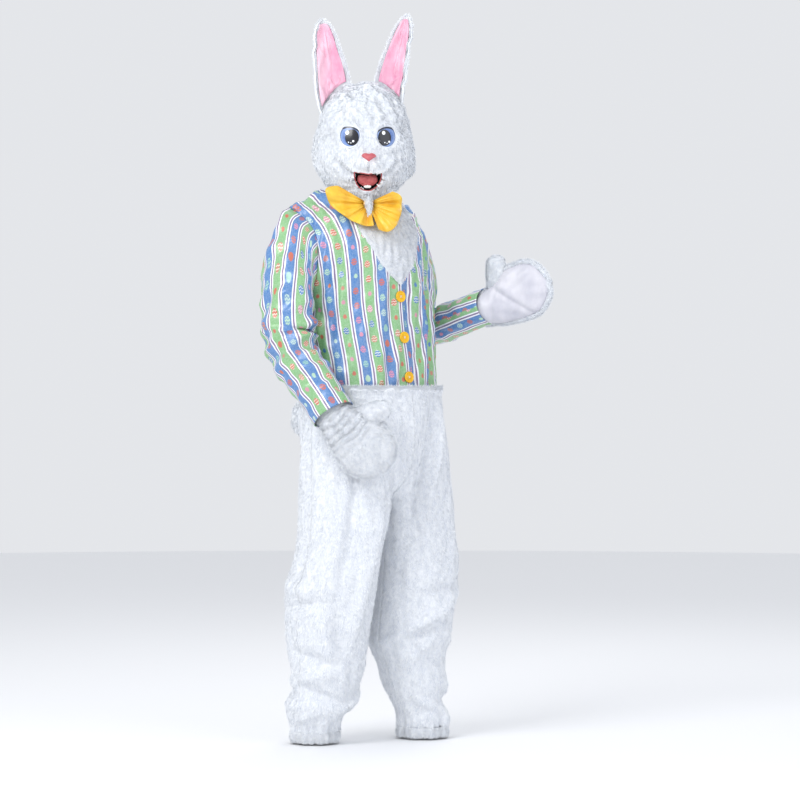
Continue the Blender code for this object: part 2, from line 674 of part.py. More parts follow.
def neck_band():
    """The plush piece that closes in from the neckline to the mask's opening."""
    loop = neck_loop()
    bearing = np.arctan2(loop[:, 1] - HEAD_Y, loop[:, 0])
    top = mask_section(MASK_OPENING_Z, bearing - HEAD_TURN)
    top = turned(np.column_stack([top, np.full(len(top), MASK_OPENING_Z - NECK_BAND_DROP)]), HEAD_TURN)
    share = np.linspace(0, 1, NECK_BAND_RINGS + 1)[:, None, None]
    points = loop + (top - loop) * share - NECK_BAND_SAG * np.sin(math.pi * share) * np.array([0, 0, 1.0])
    return facing_out(Panel("neck_band", points, SATIN, "white plush", closed=True), np.array([0, 0, -0.3]))


def leg_rows():
    """Heights of the trouser rows, closest where the crotch curve turns fastest."""
    hips = np.linspace(TROUSER_TOP_Z, CROTCH_START_Z, 4)
    turn = np.sin(np.linspace(0, math.pi / 2, 7)[1:])
    seat = CROTCH_START_Z + (CROTCH_Z - CROTCH_START_Z) * turn
    shin = -1.20
    thigh = np.linspace(CROTCH_Z, shin, 8)[1:]
    ankle = np.linspace(shin, LEG_END_Z, 8)[1:]
    return np.concatenate([hips, seat, thigh, ankle])


def trouser_points(z, around, side):
    """The outer form of one trouser half: around runs 0 at centre front, 0.5 at the side, 1 at centre back."""
    half_width, depth, centre = np.moveaxis(smooth_curve(HIPS[:, 0], HIPS[:, 1:], z), -1, 0)
    angle = np.pi * around
    hip = np.stack([side * half_width * np.sin(angle), centre - depth * np.cos(angle)], axis=-1)
    columns = slice(1, 4) if side < 0 else slice(4, 7)
    leg_x, leg_y, radius = np.moveaxis(smooth_curve(LEGS[:, 0], LEGS[:, columns], z), -1, 0)
    turn = 2 * np.pi * around
    clear = LEG_GAP_SLOPE * np.clip(CROTCH_Z - z, 0, 0.10)
    inner = np.minimum(radius, np.abs(leg_x) - clear)
    reach = np.where(np.cos(turn) > 0, inner, radius)
    leg = np.stack([leg_x - side * reach * np.cos(turn), leg_y - radius * np.sin(turn)], axis=-1)
    fall = np.clip((CROTCH_START_Z - z) / (CROTCH_START_Z - CROTCH_Z), 0, 1)
    edge_share = 1 - np.sqrt(1 - fall ** 2)
    side_share = smooth_step((LEG_SPLIT_TOP_Z - z) / (LEG_SPLIT_TOP_Z - LEG_SPLIT_END_Z))
    near_edge = np.abs(2 * around - 1) ** 4
    share = (near_edge * edge_share + (1 - near_edge) * side_share)[..., None]
    flat = hip * (1 - share) + leg * share
    away = SEAM_EASE * smooth_step(np.minimum(around, 1 - around) * 2 * LEG_COLUMNS)
    flat[..., 0] = side * np.maximum(side * flat[..., 0], away)
    return np.concatenate([flat, z[..., None]], axis=-1)


def trouser_panel(name, start, end, side, folds):
    """A front or back trouser panel of one leg."""
    rows = leg_rows()
    around = np.linspace(start, end, LEG_COLUMNS + 1)
    z = np.broadcast_to(rows[:, None], (len(rows), len(around)))
    place = np.broadcast_to(around[None, :], z.shape)
    points = trouser_points(z, place, side)
    window = smooth_step(np.minimum(place, 1 - place) / 0.06)
    relief = window * folds_at(folds, place, z, LEG_GIRTH, 1.0)
    relief = relief * smooth_step((z - LEG_END_Z) / 0.03) * smooth_step((TROUSER_TOP_Z - z) / 0.05)
    gather = smooth_step((GATHER_START_Z - z) / (GATHER_START_Z - LEG_END_Z))
    relief = relief - GATHER_DEPTH * gather * np.cos(2 * np.pi * LEG_COLUMNS * place)
    middle = np.array([side * 0.11, -0.02, 0]) + np.array([0, 0, 1.0]) * z[:-1, :-1, None]
    return facing_out(Panel(name, points, PLUSH, "white plush", relief=relief, side=side), middle)


def ankle_casing(word, side):
    """The gathered elastic casing below one trouser leg."""
    around = np.arange(2 * LEG_COLUMNS) / (2 * LEG_COLUMNS)
    z = np.linspace(LEG_END_Z, HEM_Z, 4)[:, None] + np.zeros(len(around))
    points = trouser_points(np.full(z.shape, LEG_END_Z), np.broadcast_to(around, z.shape), side)
    points[..., 2] = z
    relief = np.broadcast_to(-GATHER_DEPTH * np.cos(2 * np.pi * LEG_COLUMNS * around), z.shape)
    casing = Panel(f"ankle_casing_{word}", points, PLUSH, "white plush", closed=True, relief=relief)
    return facing_out(casing, points.mean(axis=1, keepdims=True)[:-1])


def trousers(collection):
    """Two halves, each with a front and a back panel, sewn along the middle, the sides and the inseams."""
    panels = []
    for side, word, folds in ((-1, "right", RIGHT_LEG_FOLDS), (1, "left", LEFT_LEG_FOLDS)):
        panels.append(trouser_panel(f"trouser_front_{word}", 0.0, 0.5, side, folds))
        panels.append(trouser_panel(f"trouser_back_{word}", 0.5, 1.0, side, folds))
        panels.append(ankle_casing(word, side))
    sewn(panels, collection)


def mask_size(z):
    """Half width, depth in front and depth behind of the mask at this height."""
    return np.moveaxis(smooth_curve(MASK[:, 0], MASK[:, 1:], z), -1, 0)


def mask_section(z, bearing):
    """Points of the mask's level section, at bearings from its own x axis."""
    half_width, front, back = mask_size(np.full(np.shape(bearing), z))
    depth = np.where(np.sin(bearing) < 0, front, back)
    radius = 1 / np.sqrt((np.cos(bearing) / half_width) ** 2 + (np.sin(bearing) / depth) ** 2)
    return np.stack([radius * np.cos(bearing), HEAD_Y + radius * np.sin(bearing)], axis=-1)


def outside_mask(points):
    """Above 0 where a point lies outside the mask's plain form."""
    half_width, front, back = mask_size(points[..., 2])
    y = points[..., 1] - HEAD_Y
    depth = np.where(y < 0, front, back)
    level = (points[..., 0] / half_width) ** 2 + (y / depth) ** 2 - 1
    return np.where(points[..., 2] > MASK[-1, 0], 1.0, level)


def halved(low, high, test):
    """Where the test turns positive between low and high, found by halving."""
    for _ in range(32):
        middle = (low + high) / 2
        out = test(middle) > 0
        high = np.where(out, middle, high)
        low = np.where(out, low, middle)
    return (low + high) / 2


def muzzle(x, z):
    """How far the muzzle stands out in front of the mask's plain form."""
    rise, half_width, height, half_height = MUZZLE
    return rise * np.exp(-(x / half_width) ** 2 - ((z - height) / half_height) ** 2)


def mask_points(directions, inset):
    """The mask's surface in these directions from its core, moved in by the wall's thickness."""
    core = np.array([0, HEAD_Y, MASK_CORE_Z])
    reach = halved(np.zeros(len(directions)), np.full(len(directions), 0.3),
                   lambda r: outside_mask(core + r[:, None] * directions))
    points = core + (reach - inset)[:, None] * directions
    front = smooth_step(-directions[:, 1] * 4)
    points[:, 1] -= front * muzzle(points[:, 0], points[:, 2])
    return points


def face_y(x, z):
    """The y of the mask's face at this place."""
    half_width, front, _ = mask_size(z)
    return HEAD_Y - front * np.sqrt(np.clip(1 - (x / half_width) ** 2, 0, 1)) - muzzle(x, z)


def crown_z(x, y):
    """The height of the mask's crown at this place."""
    return halved(np.full(np.shape(x), MASK_CORE_Z), np.full(np.shape(x), 0.33),
                  lambda z: outside_mask(np.stack([x, y, z], axis=-1)))


def boolean(target, cutter, operation="DIFFERENCE"):
    """Adds a Boolean modifier with this cutter."""
    modifier = target.modifiers.new(cutter.name, "BOOLEAN")
    modifier.operation = operation
    modifier.object = cutter


def cutter_box(name, low, high, cutters):
    """A box between two corners, for cutting."""
    bm = bmesh.new()
    bmesh.ops.create_cube(bm, size=1)
    size = Vector(high) - Vector(low)
    bmesh.ops.scale(bm, vec=size, verts=bm.verts)
    bmesh.ops.translate(bm, vec=(Vector(high) + Vector(low)) / 2, verts=bm.verts)
    mesh = bpy.data.meshes.new(name)
    bm.to_mesh(mesh)
    bm.free()
    made = placed(name, mesh, None, cutters)
    made.hide_render = True
    return made


def ball(subdivisions):
    """Directions and faces of an even ball of triangles."""
    bm = bmesh.new()
    bmesh.ops.create_icosphere(bm, subdivisions=subdivisions, radius=1)
    directions = unit(np.array([tuple(v.co) for v in bm.verts]))
    faces = [tuple(v.index for v in face.verts) for face in bm.faces]
    bm.free()
    return directions, faces


def mask_shell(name):
    """A closed mesh of the mask's wall: a ball of triangles drawn onto the form, and a coarser one inside."""
    directions, faces = ball(4)
    inner_directions, inner_faces = ball(3)
    points = np.concatenate([mask_points(directions, 0.0), mask_points(inner_directions, MASK_SHELL)])
    inside = [tuple(i + len(directions) for i in reversed(face)) for face in inner_faces]
    mesh = bpy.data.meshes.new(name)
    mesh.from_pydata(points.tolist(), [], faces + inside)
    return mesh


def mouth_outline(count, grow=0.0):
    """The mouth's edge: a wide smile on top and a round bottom, as x and z."""
    angle = np.linspace(0, 2 * math.pi, count, endpoint=False)
    x = (MOUTH_HALF_WIDTH + grow) * np.cos(angle)
    upper = MOUTH_TOP_Z + grow - MOUTH_SAG * (1 - np.abs(np.cos(angle)))
    lower = MOUTH_TOP_Z - (MOUTH_TOP_Z - MOUTH_BOTTOM_Z + grow) * np.abs(np.sin(angle)) ** 0.9
    return np.stack([x, np.where(np.sin(angle) >= 0, upper, lower)], axis=-1)


def capped_mesh(name, rings):
    """A closed mesh through closed rings, with a flat face at each end."""
    rows, columns = rings.shape[:2]
    index = np.arange(rows * columns).reshape(rows, columns)
    a, b, c, d = quad_corners(index, True)
    faces = [tuple(map(int, quad)) for quad in np.stack([a, b, c, d], axis=-1).reshape(-1, 4)]
    faces += [tuple(map(int, index[0][::-1])), tuple(map(int, index[-1]))]
    mesh = bpy.data.meshes.new(name)
    mesh.from_pydata(rings.reshape(-1, 3).tolist(), [], faces)
    bm = bmesh.new()
    bm.from_mesh(mesh)
    bmesh.ops.recalc_face_normals(bm, faces=bm.faces)
    bm.to_mesh(mesh)
    bm.free()
    return mesh


def face_lens(name, outline, centre, dome, rim, finish, collection):
    """A domed piece on the mask's face: its back follows the face and its front bulges."""
    inward = (0.3, 1.0)
    outward = (1.0, 0.82, 0.45)
    rings = []
    for share in inward:
        x, z = (centre + outline * share).T
        rings.append(np.stack([x, face_y(x, z) - SEAM_GAP * 2, z], axis=-1))
    for share in outward:
        x, z = (centre + outline * share).T
        height = rim + (dome - rim) * math.sqrt(1 - share ** 2)
        rings.append(np.stack([x, face_y(x, z) - SEAM_GAP * 2 - height, z], axis=-1))
    rings = turned(np.array(rings), HEAD_TURN)
    placed(name, capped_mesh(name, rings), finish, collection)


def ring_outline(half_width, half_height, count):
    """An oval about the origin, as x and z."""
    angle = np.linspace(0, 2 * math.pi, count, endpoint=False)
    return np.stack([half_width * np.cos(angle), half_height * np.sin(angle)], axis=-1)


def nose_outline(count):
    """A rounded triangle with its point down and a notch on top, as x and z."""
    angle = np.linspace(0, 2 * math.pi, count, endpoint=False)
    pinch = 1 - 0.62 * np.clip(-np.sin(angle), 0, 1)
    notch = 1 - 0.30 * np.exp(-(np.cos(angle) / 0.3) ** 2) * (np.sin(angle) > 0)
    return np.stack([NOSE_HALF_WIDTH * np.cos(angle) * pinch, NOSE_HALF_HEIGHT * np.sin(angle) * notch], axis=-1)


def mouth(collection, cutters, face):
    """Cuts the mouth through the face and hangs the black lining in it, with the tongue and teeth."""
    front, back = -0.20, 0.0
    edge = mouth_outline(MOUTH_POINTS, SEAM_GAP)
    rings = np.array([[(x, y, z) for x, z in edge] for y in (front, back)])
    cutter = placed("mouth_cutter", capped_mesh("mouth_cutter", turned(rings, HEAD_TURN)), None, cutters)
    cutter.hide_render = True
    boolean(face, cutter)
    edge = mouth_outline(MOUTH_POINTS, -SEAM_GAP)
    middle = np.array([0, (MOUTH_TOP_Z + MOUTH_BOTTOM_Z) / 2])
    rings = []
    for share, depth in ((1.0, 0.0015), (0.98, 0.015), (0.88, 0.026), (0.50, MOUTH_DEPTH)):
        x, z = (middle + (edge - middle) * share).T
        rim = face_y(*(edge.T)) if share > 0.9 else face_y(*(middle + (edge - middle) * 0.9).T)
        rings.append(np.stack([x, rim + depth, z], axis=-1))
    points = turned(np.array(rings), HEAD_TURN)
    bowl = Panel("mouth_lining", points, MOUTH_LINING_WALL, "black mouth", closed=True, tip=True)
    centre = points[:-1].mean(axis=1, keepdims=True)
    sewn([facing_out(bowl, centre)], collection)
    tongue_z, teeth_z = middle[1] + 0.003, MOUTH_BOTTOM_Z + 0.0111
    tongue_y, teeth_y = face_y(np.zeros(2), np.array([tongue_z, teeth_z]))
    squashed_ball("tongue", (0, tongue_y + 0.0145, tongue_z), TONGUE_HALF, "coral tongue", collection)
    tooth_block("teeth", (0, teeth_y + 0.006, teeth_z), TEETH_SIZE, "white teeth", collection)


def squashed_ball(name, place, halves, finish, collection):
    """An ellipsoid in the mask's frame."""
    bm = bmesh.new()
    bmesh.ops.create_uvsphere(bm, u_segments=12, v_segments=7, radius=1)
    bmesh.ops.scale(bm, vec=halves, verts=bm.verts)
    mesh = bpy.data.meshes.new(name)
    bm.to_mesh(mesh)
    bm.free()
    made = placed(name, mesh, finish, collection)
    made.matrix_world = Matrix.Rotation(HEAD_TURN, 4, "Z") @ Matrix.Translation(place)
    return made


def tooth_block(name, place, size, finish, collection):
    """A block with rounded edges in the mask's frame."""
    bm = bmesh.new()
    bmesh.ops.create_cube(bm, size=1)
    bmesh.ops.scale(bm, vec=size, verts=bm.verts)
    bmesh.ops.bevel(bm, geom=bm.edges, offset=0.0018, segments=2, affect="EDGES")
    mesh = bpy.data.meshes.new(name)
    bm.to_mesh(mesh)
    bm.free()
    made = placed(name, mesh, finish, collection)
    made.matrix_world = Matrix.Rotation(HEAD_TURN, 4, "Z") @ Matrix.Translation(place)


def ear_points(rows, side_turn, across, z):
    """The ear's outer form at these heights: a cupped leaf whose edges curl forward."""
    x, y, half_width = np.moveaxis(smooth_curve(rows[:, 0], rows[:, 1:], z), -1, 0)
    cup = EAR_CUP * np.minimum(half_width / 0.04, 1)
    sideways = half_width * across
    forward = -cup * across ** 2
    return np.stack([
        x + sideways * math.cos(side_turn) - forward * math.sin(side_turn),
        y + sideways * math.sin(side_turn) + forward * math.cos(side_turn),
        z + 0 * across,
    ], axis=-1)


def ear_grid(rows, side_turn, across, up):
    """Ear points from the crown of the mask, where each column starts, to the tip."""
    low = np.full(len(across), rows[0, 0])
    root = halved(low, np.full(len(across), rows[4, 0]),
                  lambda z: outside_mask(ear_points(rows, side_turn, across, z)))
    z = root + (rows[-1, 0] - root) * up[:, None]
    return ear_points(rows, side_turn, np.broadcast_to(across, z.shape), z)


def ear(word, rows, side_turn, collection):
    """An ear's plush shell, seated on the crown, and the satin lining in its cup."""
    across = np.linspace(-1, 1, EAR_COLUMNS + 1)
    points = ear_grid(rows, side_turn, across, np.linspace(0, 1, EAR_ROWS + 1))
    behind = points.mean(axis=(0, 1)) - (0, 0.2, 0)
    shell = sewn([facing_out(Panel(f"ear_{word}", points, PLUSH, "white plush"), behind)], collection)[0]
    up = np.linspace(EAR_LINING_START, EAR_LINING_END, EAR_ROWS - 1)
    points = ear_grid(rows, side_turn, across[1:-1] * EAR_LINING_SHARE / across[-2], up)
    panel = facing_out(Panel(f"ear_{word}_lining", points, EAR_LINING, "pink satin"), behind)
    panel.points = panel.points - shared_normals([panel])[0] * (PLUSH + EAR_LINING_GAP)
    lining = sewn([panel], collection)[0]
    for each in (shell, lining):
        seat_on_crown(each.data)
        each.matrix_world = Matrix.Rotation(HEAD_TURN, 4, "Z")


def seat_on_crown(mesh):
    """Lifts what reaches into the mask onto its crown, and an ear's root down to it."""
    points = np.empty(len(mesh.vertices) * 3)
    mesh.vertices.foreach_get("co", points)
    points = points.reshape(-1, 3)
    crown = crown_z(points[:, 0], points[:, 1]) + CROWN_GAP
    close = np.abs(points[:, 2] - crown) < CROWN_REACH
    points[:, 2] = np.where(close | (points[:, 2] < crown), crown, points[:, 2])
    mesh.vertices.foreach_set("co", points.reshape(-1))


def mask(collection, cutters):
    """The mask: face and back halves, ears, eyes, nose and mouth."""
    halves = []
    box_low, box_high = -0.4, 0.4
    below = cutter_box("neck_cutter", (box_low, box_low, -0.2), (box_high, box_high, MASK_OPENING_Z), cutters)
    front = cutter_box("front_cutter", (box_low, box_low, -0.2), (box_high, MASK_SEAM_Y, box_high), cutters)
    back = cutter_box("back_cutter", (box_low, MASK_SEAM_Y - SEAM_GAP, -0.2), (box_high, box_high, box_high),
                      cutters)
    for name, cutter in (("mask_face", back), ("mask_back", front)):
        made = placed(name, mask_shell(name), "white plush", collection)
        made.matrix_world = Matrix.Rotation(HEAD_TURN, 4, "Z")
        boolean(made, below)
        boolean(made, cutter)
        halves.append(made)
    for cutter in (front, back):
        cutter.matrix_world = Matrix.Rotation(HEAD_TURN, 4, "Z")
    mouth(collection, cutters, halves[0])
    for word, side in (("right", -1), ("left", 1)):
        outline = ring_outline(EYE_HALF_WIDTH, EYE_HALF_HEIGHT, LENS_POINTS)
        face_lens(f"eye_{word}", outline, np.array([side * EYE_X, EYE_Z]), EYE_DOME, 0.0016, "eye enamel", collection)
    face_lens("nose", nose_outline(LENS_POINTS), np.array([0, NOSE_Z]), NOSE_DOME, 0.002, "coral nose", collection)
    ear("right", EAR_RIGHT, EAR_TURN_RIGHT, collection)
    ear("left", EAR_LEFT, EAR_TURN_LEFT, collection)


def bow_wing(name, fan, side, collection):
    """One wing of the bow tie: a folded strip that fans out from the knot in pleats."""
    spread = np.linspace(fan[0, 0], fan[-1, 0], BOW_COLUMNS + 1)
    radius = smooth_curve(fan[:, 0], fan[:, 1], spread)
    strip = np.linspace(-1, 1, BOW_ROWS + 1)
    reach = 1 - np.abs(strip) ** 1.6
    distance = BOW_ROOT + (radius - BOW_ROOT)[None, :] * reach[:, None]
    share = distance / radius[None, :]
    half = BOW_HALF_FOLD * np.sqrt(np.clip(reach * (1 - reach) * 4, 0, 1)) * 0.55 + 0.0028
    layer = np.sign(strip) * half * (np.abs(strip) > 1e-9)
    pleat = 0.007 * np.cos(BOW_PLEATS * 2 * math.pi * np.linspace(0, 1, BOW_COLUMNS + 1))
    pleat = pleat[None, :] * np.sin(np.clip(share, 0, 1) * math.pi) ** 0.7
    angle = np.radians(spread)[None, :]
    across = side * distance * np.cos(angle)
    up = distance * np.sin(angle)
    out = BOW_REACH + BOW_LEAN * np.clip(-up, 0, None) + 0.10 * np.clip(up, 0, None)
    out = out + layer[:, None] + pleat
    points = np.stack([across, -out, BOW_KNOT_Z + up], axis=-1)
    points = turned(points + np.array([0, HEAD_Y, 0]), HEAD_TURN)
    panel = Panel(name, points, BOW_SATIN, "yellow satin")
    core = turned(np.array([side * 0.05, -BOW_REACH - 0.01, BOW_KNOT_Z - 0.02]), HEAD_TURN)
    sewn([facing_out(panel, core)], collection)


def bow_tie(collection):
    """Two wings and the knot, under the mask's chin."""
    bow_wing("bow_wing_right", BOW_RIGHT, -1, collection)
    bow_wing("bow_wing_left", BOW_LEFT, 1, collection)
    squashed_ball("bow_knot", (0, HEAD_Y - BOW_REACH, BOW_KNOT_Z), KNOT_HALF, "yellow satin", collection)


def mitt_edges(along):
    """The mitt's two edges and half thickness at this distance from the wrist."""
    low, high = smooth_curve(MITT[:, 0], MITT[:, 1:], along).T
    return low, high, smooth_curve(MITT_DEPTH[:, 0], MITT_DEPTH[:, 1], along)


def mitt_side(along, depth):
    """How far out the mitt's thumb side reaches, at this depth from its middle plane."""
    low, high, half = mitt_edges(along)
    return (low + high) / 2 + (high - low) / 2 * np.sqrt(np.clip(1 - (depth / half) ** 2, 0.05, 1))


def mitt(word, hand, side, collection, cutters):
    """A mitt: a plush back and a satin palm, sewn round the edge, and a thumb."""
    wrist, along_axis, thumb_axis = (np.array(vector) for vector in hand)
    along_axis = unit(along_axis)
    thumb_axis = unit(thumb_axis - thumb_axis @ along_axis * along_axis)
    palm_axis = side * np.cross(along_axis, thumb_axis)

    def world(along, across, depth):
        """A point of the hand's own frame in the garment's."""
        return (wrist + along[..., None] * along_axis + across[..., None] * thumb_axis
                + depth[..., None] * palm_axis)

    along = MITT[:, 0]
    low, high, half = mitt_edges(along)
    across = -np.cos(np.linspace(0, math.pi, MITT_COLUMNS + 1))
    spread = (low + high)[:, None] / 2 + (high - low)[:, None] / 2 * across
    bulge = half[:, None] * np.sqrt(1 - across ** 2)
    pleat = MITT_PLEAT_DEPTH * np.cos(MITT_PLEATS * 2 * math.pi * np.linspace(0, 1, MITT_COLUMNS + 1))
    pleat = pleat * np.sqrt(1 - across ** 2) * smooth_step((0.09 - along[:, None]) / 0.08)
    pleat = pleat * smooth_step((along[:, None] + 0.02) / 0.02)
    station = np.broadcast_to(along[:, None], spread.shape)
    middle = world(station, np.broadcast_to(((low + high) / 2)[:, None], spread.shape), 0 * station)
    back = Panel(f"mitt_{word}_back", world(station, spread, -bulge - pleat), MITT_PLUSH, "white plush")
    palm = Panel(f"mitt_{word}_palm", world(station, spread, bulge), SATIN, "white satin")
    panels = [facing_out(panel, middle[:-1, :-1]) for panel in (back, palm)]
    pieces = sewn(panels, collection)

    turn = np.linspace(0, 2 * math.pi, 10, endpoint=False)
    rings = []
    for share, half_width, half_depth in THUMB:
        station = THUMB_ROOT + (THUMB_TIP[0] - THUMB_ROOT) * share + half_width * np.cos(turn)
        depth = half_depth * np.sin(turn)
        root = mitt_side(station, depth) + THUMB_GAP
        tip = np.full(len(turn), THUMB_TIP[1])
        rings.append(world(station, root + (tip - root) * share, depth))
    points = np.array(rings)
    thumb = Panel(f"mitt_{word}_thumb", points, SATIN, "white plush", closed=True, tip=True)
    made = sewn([facing_out(thumb, points[:-1].mean(axis=1, keepdims=True))], collection)[0]
    seat_thumb(made.data, len(points), len(turn), world, wrist, along_axis, thumb_axis, palm_axis)
    hole_rings = []
    for across_place in (THUMB_ROOT + 0.004, 0.12):
        station = THUMB_ROOT + 0.020 * np.cos(turn)
        hole_rings.append(world(station, np.full(len(turn), across_place), 0.014 * np.sin(turn)))
    cutter = placed(f"thumb_cutter_{word}", capped_mesh(f"thumb_cutter_{word}", np.array(hole_rings)), None, cutters)
    cutter.hide_render = True
    for piece in pieces:
        boolean(piece, cutter)


def seat_thumb(mesh, rows, columns, world, wrist, along_axis, thumb_axis, palm_axis):
    """Sets the inner edge of the thumb's root on the mitt's side, as its outer edge is."""
    start = rows * columns
    for index in range(start, start + columns):
        place = np.array(mesh.vertices[index].co) - wrist
        along, depth = place @ along_axis, place @ palm_axis
        across = mitt_side(np.array([along]), np.array([depth]))[0] + THUMB_GAP
        mesh.vertices[index].co = world(np.array(along), np.array(across), np.array(depth))


def front_point(z):
    """The jacket's centre-front point at this height."""
    shares = np.linspace(0, CHEST_ROWS[0, 0], 200)
    points = torso_point(shares, np.zeros(200))
    return np.array([np.interp(z, points[:, 2], points[:, axis]) for axis in range(3)])


def buttons(collection):
    """Three buttons down the front, each a disc with a rounded edge."""
    for number, z in enumerate(BUTTON_HEIGHTS, 1):
        above, below = front_point(z + 0.01), front_point(z - 0.01)
        up = Vector(above - below).normalized()
        twist = CHEST_TWIST * float(smooth_step((z - WAIST_Z) / (TWIST_TOP_Z - WAIST_Z)))
        out = Vector((math.sin(twist), -math.cos(twist), 0))
        out = (out - out.dot(up) * up).normalized()
        bm = bmesh.new()
        bmesh.ops.create_cone(bm, cap_ends=True, segments=20, radius1=BUTTON_RADIUS, radius2=BUTTON_RADIUS,
                              depth=BUTTON_THICKNESS)
        mesh = bpy.data.meshes.new(f"button_{number}")
        bm.to_mesh(mesh)
        bm.free()
        made = placed(f"button_{number}", mesh, "yellow plastic", collection)
        rotation = Matrix((up.cross(out), up, out)).transposed().to_4x4()
        centre = Vector(front_point(z)) + out * (BUTTON_THICKNESS / 2 + 2 * SEAM_GAP)
        made.matrix_world = Matrix.Translation(centre) @ rotation
        bevel = made.modifiers.new("rounded edge", "BEVEL")
        bevel.width = 0.0012
        bevel.segments = 1


def tail(collection):
    """The round plush tail at the back of the hips."""
    back = trouser_points(np.array([TAIL_Z]), np.array([1.0]), 1)[0]
    bm = bmesh.new()
    bmesh.ops.create_icosphere(bm, subdivisions=3, radius=TAIL_RADIUS)
    mesh = bpy.data.meshes.new("tail")
    bm.to_mesh(mesh)
    bm.free()
    made = placed("tail", mesh, "white plush", collection)
    made.location = (0, back[1] + TAIL_RADIUS + SEAM_GAP, TAIL_Z)


def back_placket(collection):
    """The strip that covers the closure down the centre back, made from the back panels' own rows."""
    shares, _, (inner, outer) = jacket_edges()
    shares, inner, outer = (column[1:-3] for column in (shares, inner, outer))
    first = (outer - inner) / TORSO_COLUMNS
    middle = torso_point(shares, inner)
    sides = [torso_point(shares, side * (inner + first)) for side in (-1, 1)]
    reach = [PLACKET_HALF_WIDTH / np.linalg.norm(side - middle, axis=-1, keepdims=True) for side in sides]
    points = np.stack([middle + (sides[0] - middle) * reach[0], middle,
                       middle + (sides[1] - middle) * reach[1]], axis=1)
    panel = facing_out(Panel("back_placket", points, PLACKET_WALL, "printed satin"), np.array([0, 0, -0.2]))
    panel.points = panel.points + shared_normals([panel])[0] * (PLACKET_WALL + PLACKET_GAP)
    sewn([panel], collection)


def main():
    """Clears the scene and builds the costume."""
    for old in list(bpy.data.objects):
        bpy.data.objects.remove(old)
    costume = new_collection("easter bunny costume")
    cutters = new_collection("cutters", hidden=True)
    jacket(costume)
    back_placket(costume)
    buttons(costume)
    trousers(costume)
    tail(costume)
    mask(costume, cutters)
    bow_tie(costume)
    mitt("right", HAND_RIGHT, -1, costume, cutters)
    mitt("left", HAND_LEFT, 1, costume, cutters)
    bpy.context.view_layer.update()


main()
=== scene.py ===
"""Looks of the easter bunny costume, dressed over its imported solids.

Metres, +Z up. The jacket faces -Y and the wearer's right side is -X. Every surface is worked out from short
tables with named columns. A cloth surface is a grid of points with its own flat coordinates in metres, so
the stripes of the print run along the cloth. Plush surfaces carry short blades of pile.
"""

import logging
import math
from dataclasses import dataclass
from enum import Enum

import bpy
import numpy as np
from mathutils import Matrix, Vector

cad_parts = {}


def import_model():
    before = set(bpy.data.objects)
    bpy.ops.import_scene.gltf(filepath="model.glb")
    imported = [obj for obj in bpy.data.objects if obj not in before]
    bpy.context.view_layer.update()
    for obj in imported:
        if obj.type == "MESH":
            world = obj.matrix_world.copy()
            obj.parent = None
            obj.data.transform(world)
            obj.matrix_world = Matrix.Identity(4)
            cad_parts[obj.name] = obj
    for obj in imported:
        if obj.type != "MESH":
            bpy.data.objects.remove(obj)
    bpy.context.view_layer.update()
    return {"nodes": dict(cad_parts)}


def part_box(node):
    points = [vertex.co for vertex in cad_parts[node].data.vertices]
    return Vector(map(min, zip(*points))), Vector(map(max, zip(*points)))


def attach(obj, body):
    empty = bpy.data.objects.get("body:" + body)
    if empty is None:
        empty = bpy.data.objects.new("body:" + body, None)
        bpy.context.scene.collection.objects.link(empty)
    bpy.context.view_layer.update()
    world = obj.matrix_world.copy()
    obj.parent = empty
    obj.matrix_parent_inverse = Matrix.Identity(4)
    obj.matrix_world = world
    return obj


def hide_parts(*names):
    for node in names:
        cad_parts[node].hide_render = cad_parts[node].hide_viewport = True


log = logging.getLogger("costume")
Socket = bpy.types.NodeSocket
Array = np.ndarray
Pair = tuple[float, float]
Triple = tuple[float, float, float]

BODY = "root"
RIGHT, LEFT = -1, 1
SIDES = ((RIGHT, "right"), (LEFT, "left"))
UP, DOWN = (0, 0, 1.0), (0, 0, -1.0)
HEAD_TURN = math.radians(-37.5)
HEAD_Y = 0.005
# A wave texture repeats every 0.314 m over its scale, so these are 0.35 and 0.29 mm. Satin threads are about
# 0.15 mm, too fine to show from the photograph's distance, so both weaves are drawn coarser than real.
PRINT_WEAVE = 900.0
SATIN_WEAVE = 1100.0
# A sheet's area is held to at least this share of its cut's rectangle, though the result is not kept. That
# happens to plush_in_v alone: it is held to 0.046 square metres, and its modelled cloth has 0.037.
LEAST_AREA_SHARE = 0.31


class Cloth(Enum):
    """The cloths and finishes of the costume."""

    PRINT = "printed polyester satin"
    PLUSH = "short acrylic plush"
    HEAD_PLUSH = "acrylic mask plush"
    WHITE_SATIN = "white polyester satin"
    PINK_SATIN = "pink polyester satin"
    YELLOW_SATIN = "yellow polyester satin"
    BUTTON = "moulded yellow resin"
    EYE_RIGHT = "enamelled ABS eye right"
    EYE_LEFT = "enamelled ABS eye left"
    NOSE = "coral coated foam"
    MOUTH = "black polyester felt"
    TONGUE = "coral polyester felt"
    TEETH = "white moulded ABS"
    PILE = "acrylic pile"
    THREAD = "polyester thread"


def linear(code: str) -> tuple[float, float, float, float]:
    """Turns an sRGB hex code into linear red, green and blue.

    Args:
        code: Six hex digits.

    Returns:
        Linear colour with alpha 1.
    """
    shares = [value / 255 for value in bytes.fromhex(code)]
    return (*(s / 12.92 if s <= 0.04045 else ((s + 0.055) / 1.055) ** 2.4 for s in shares), 1.0)


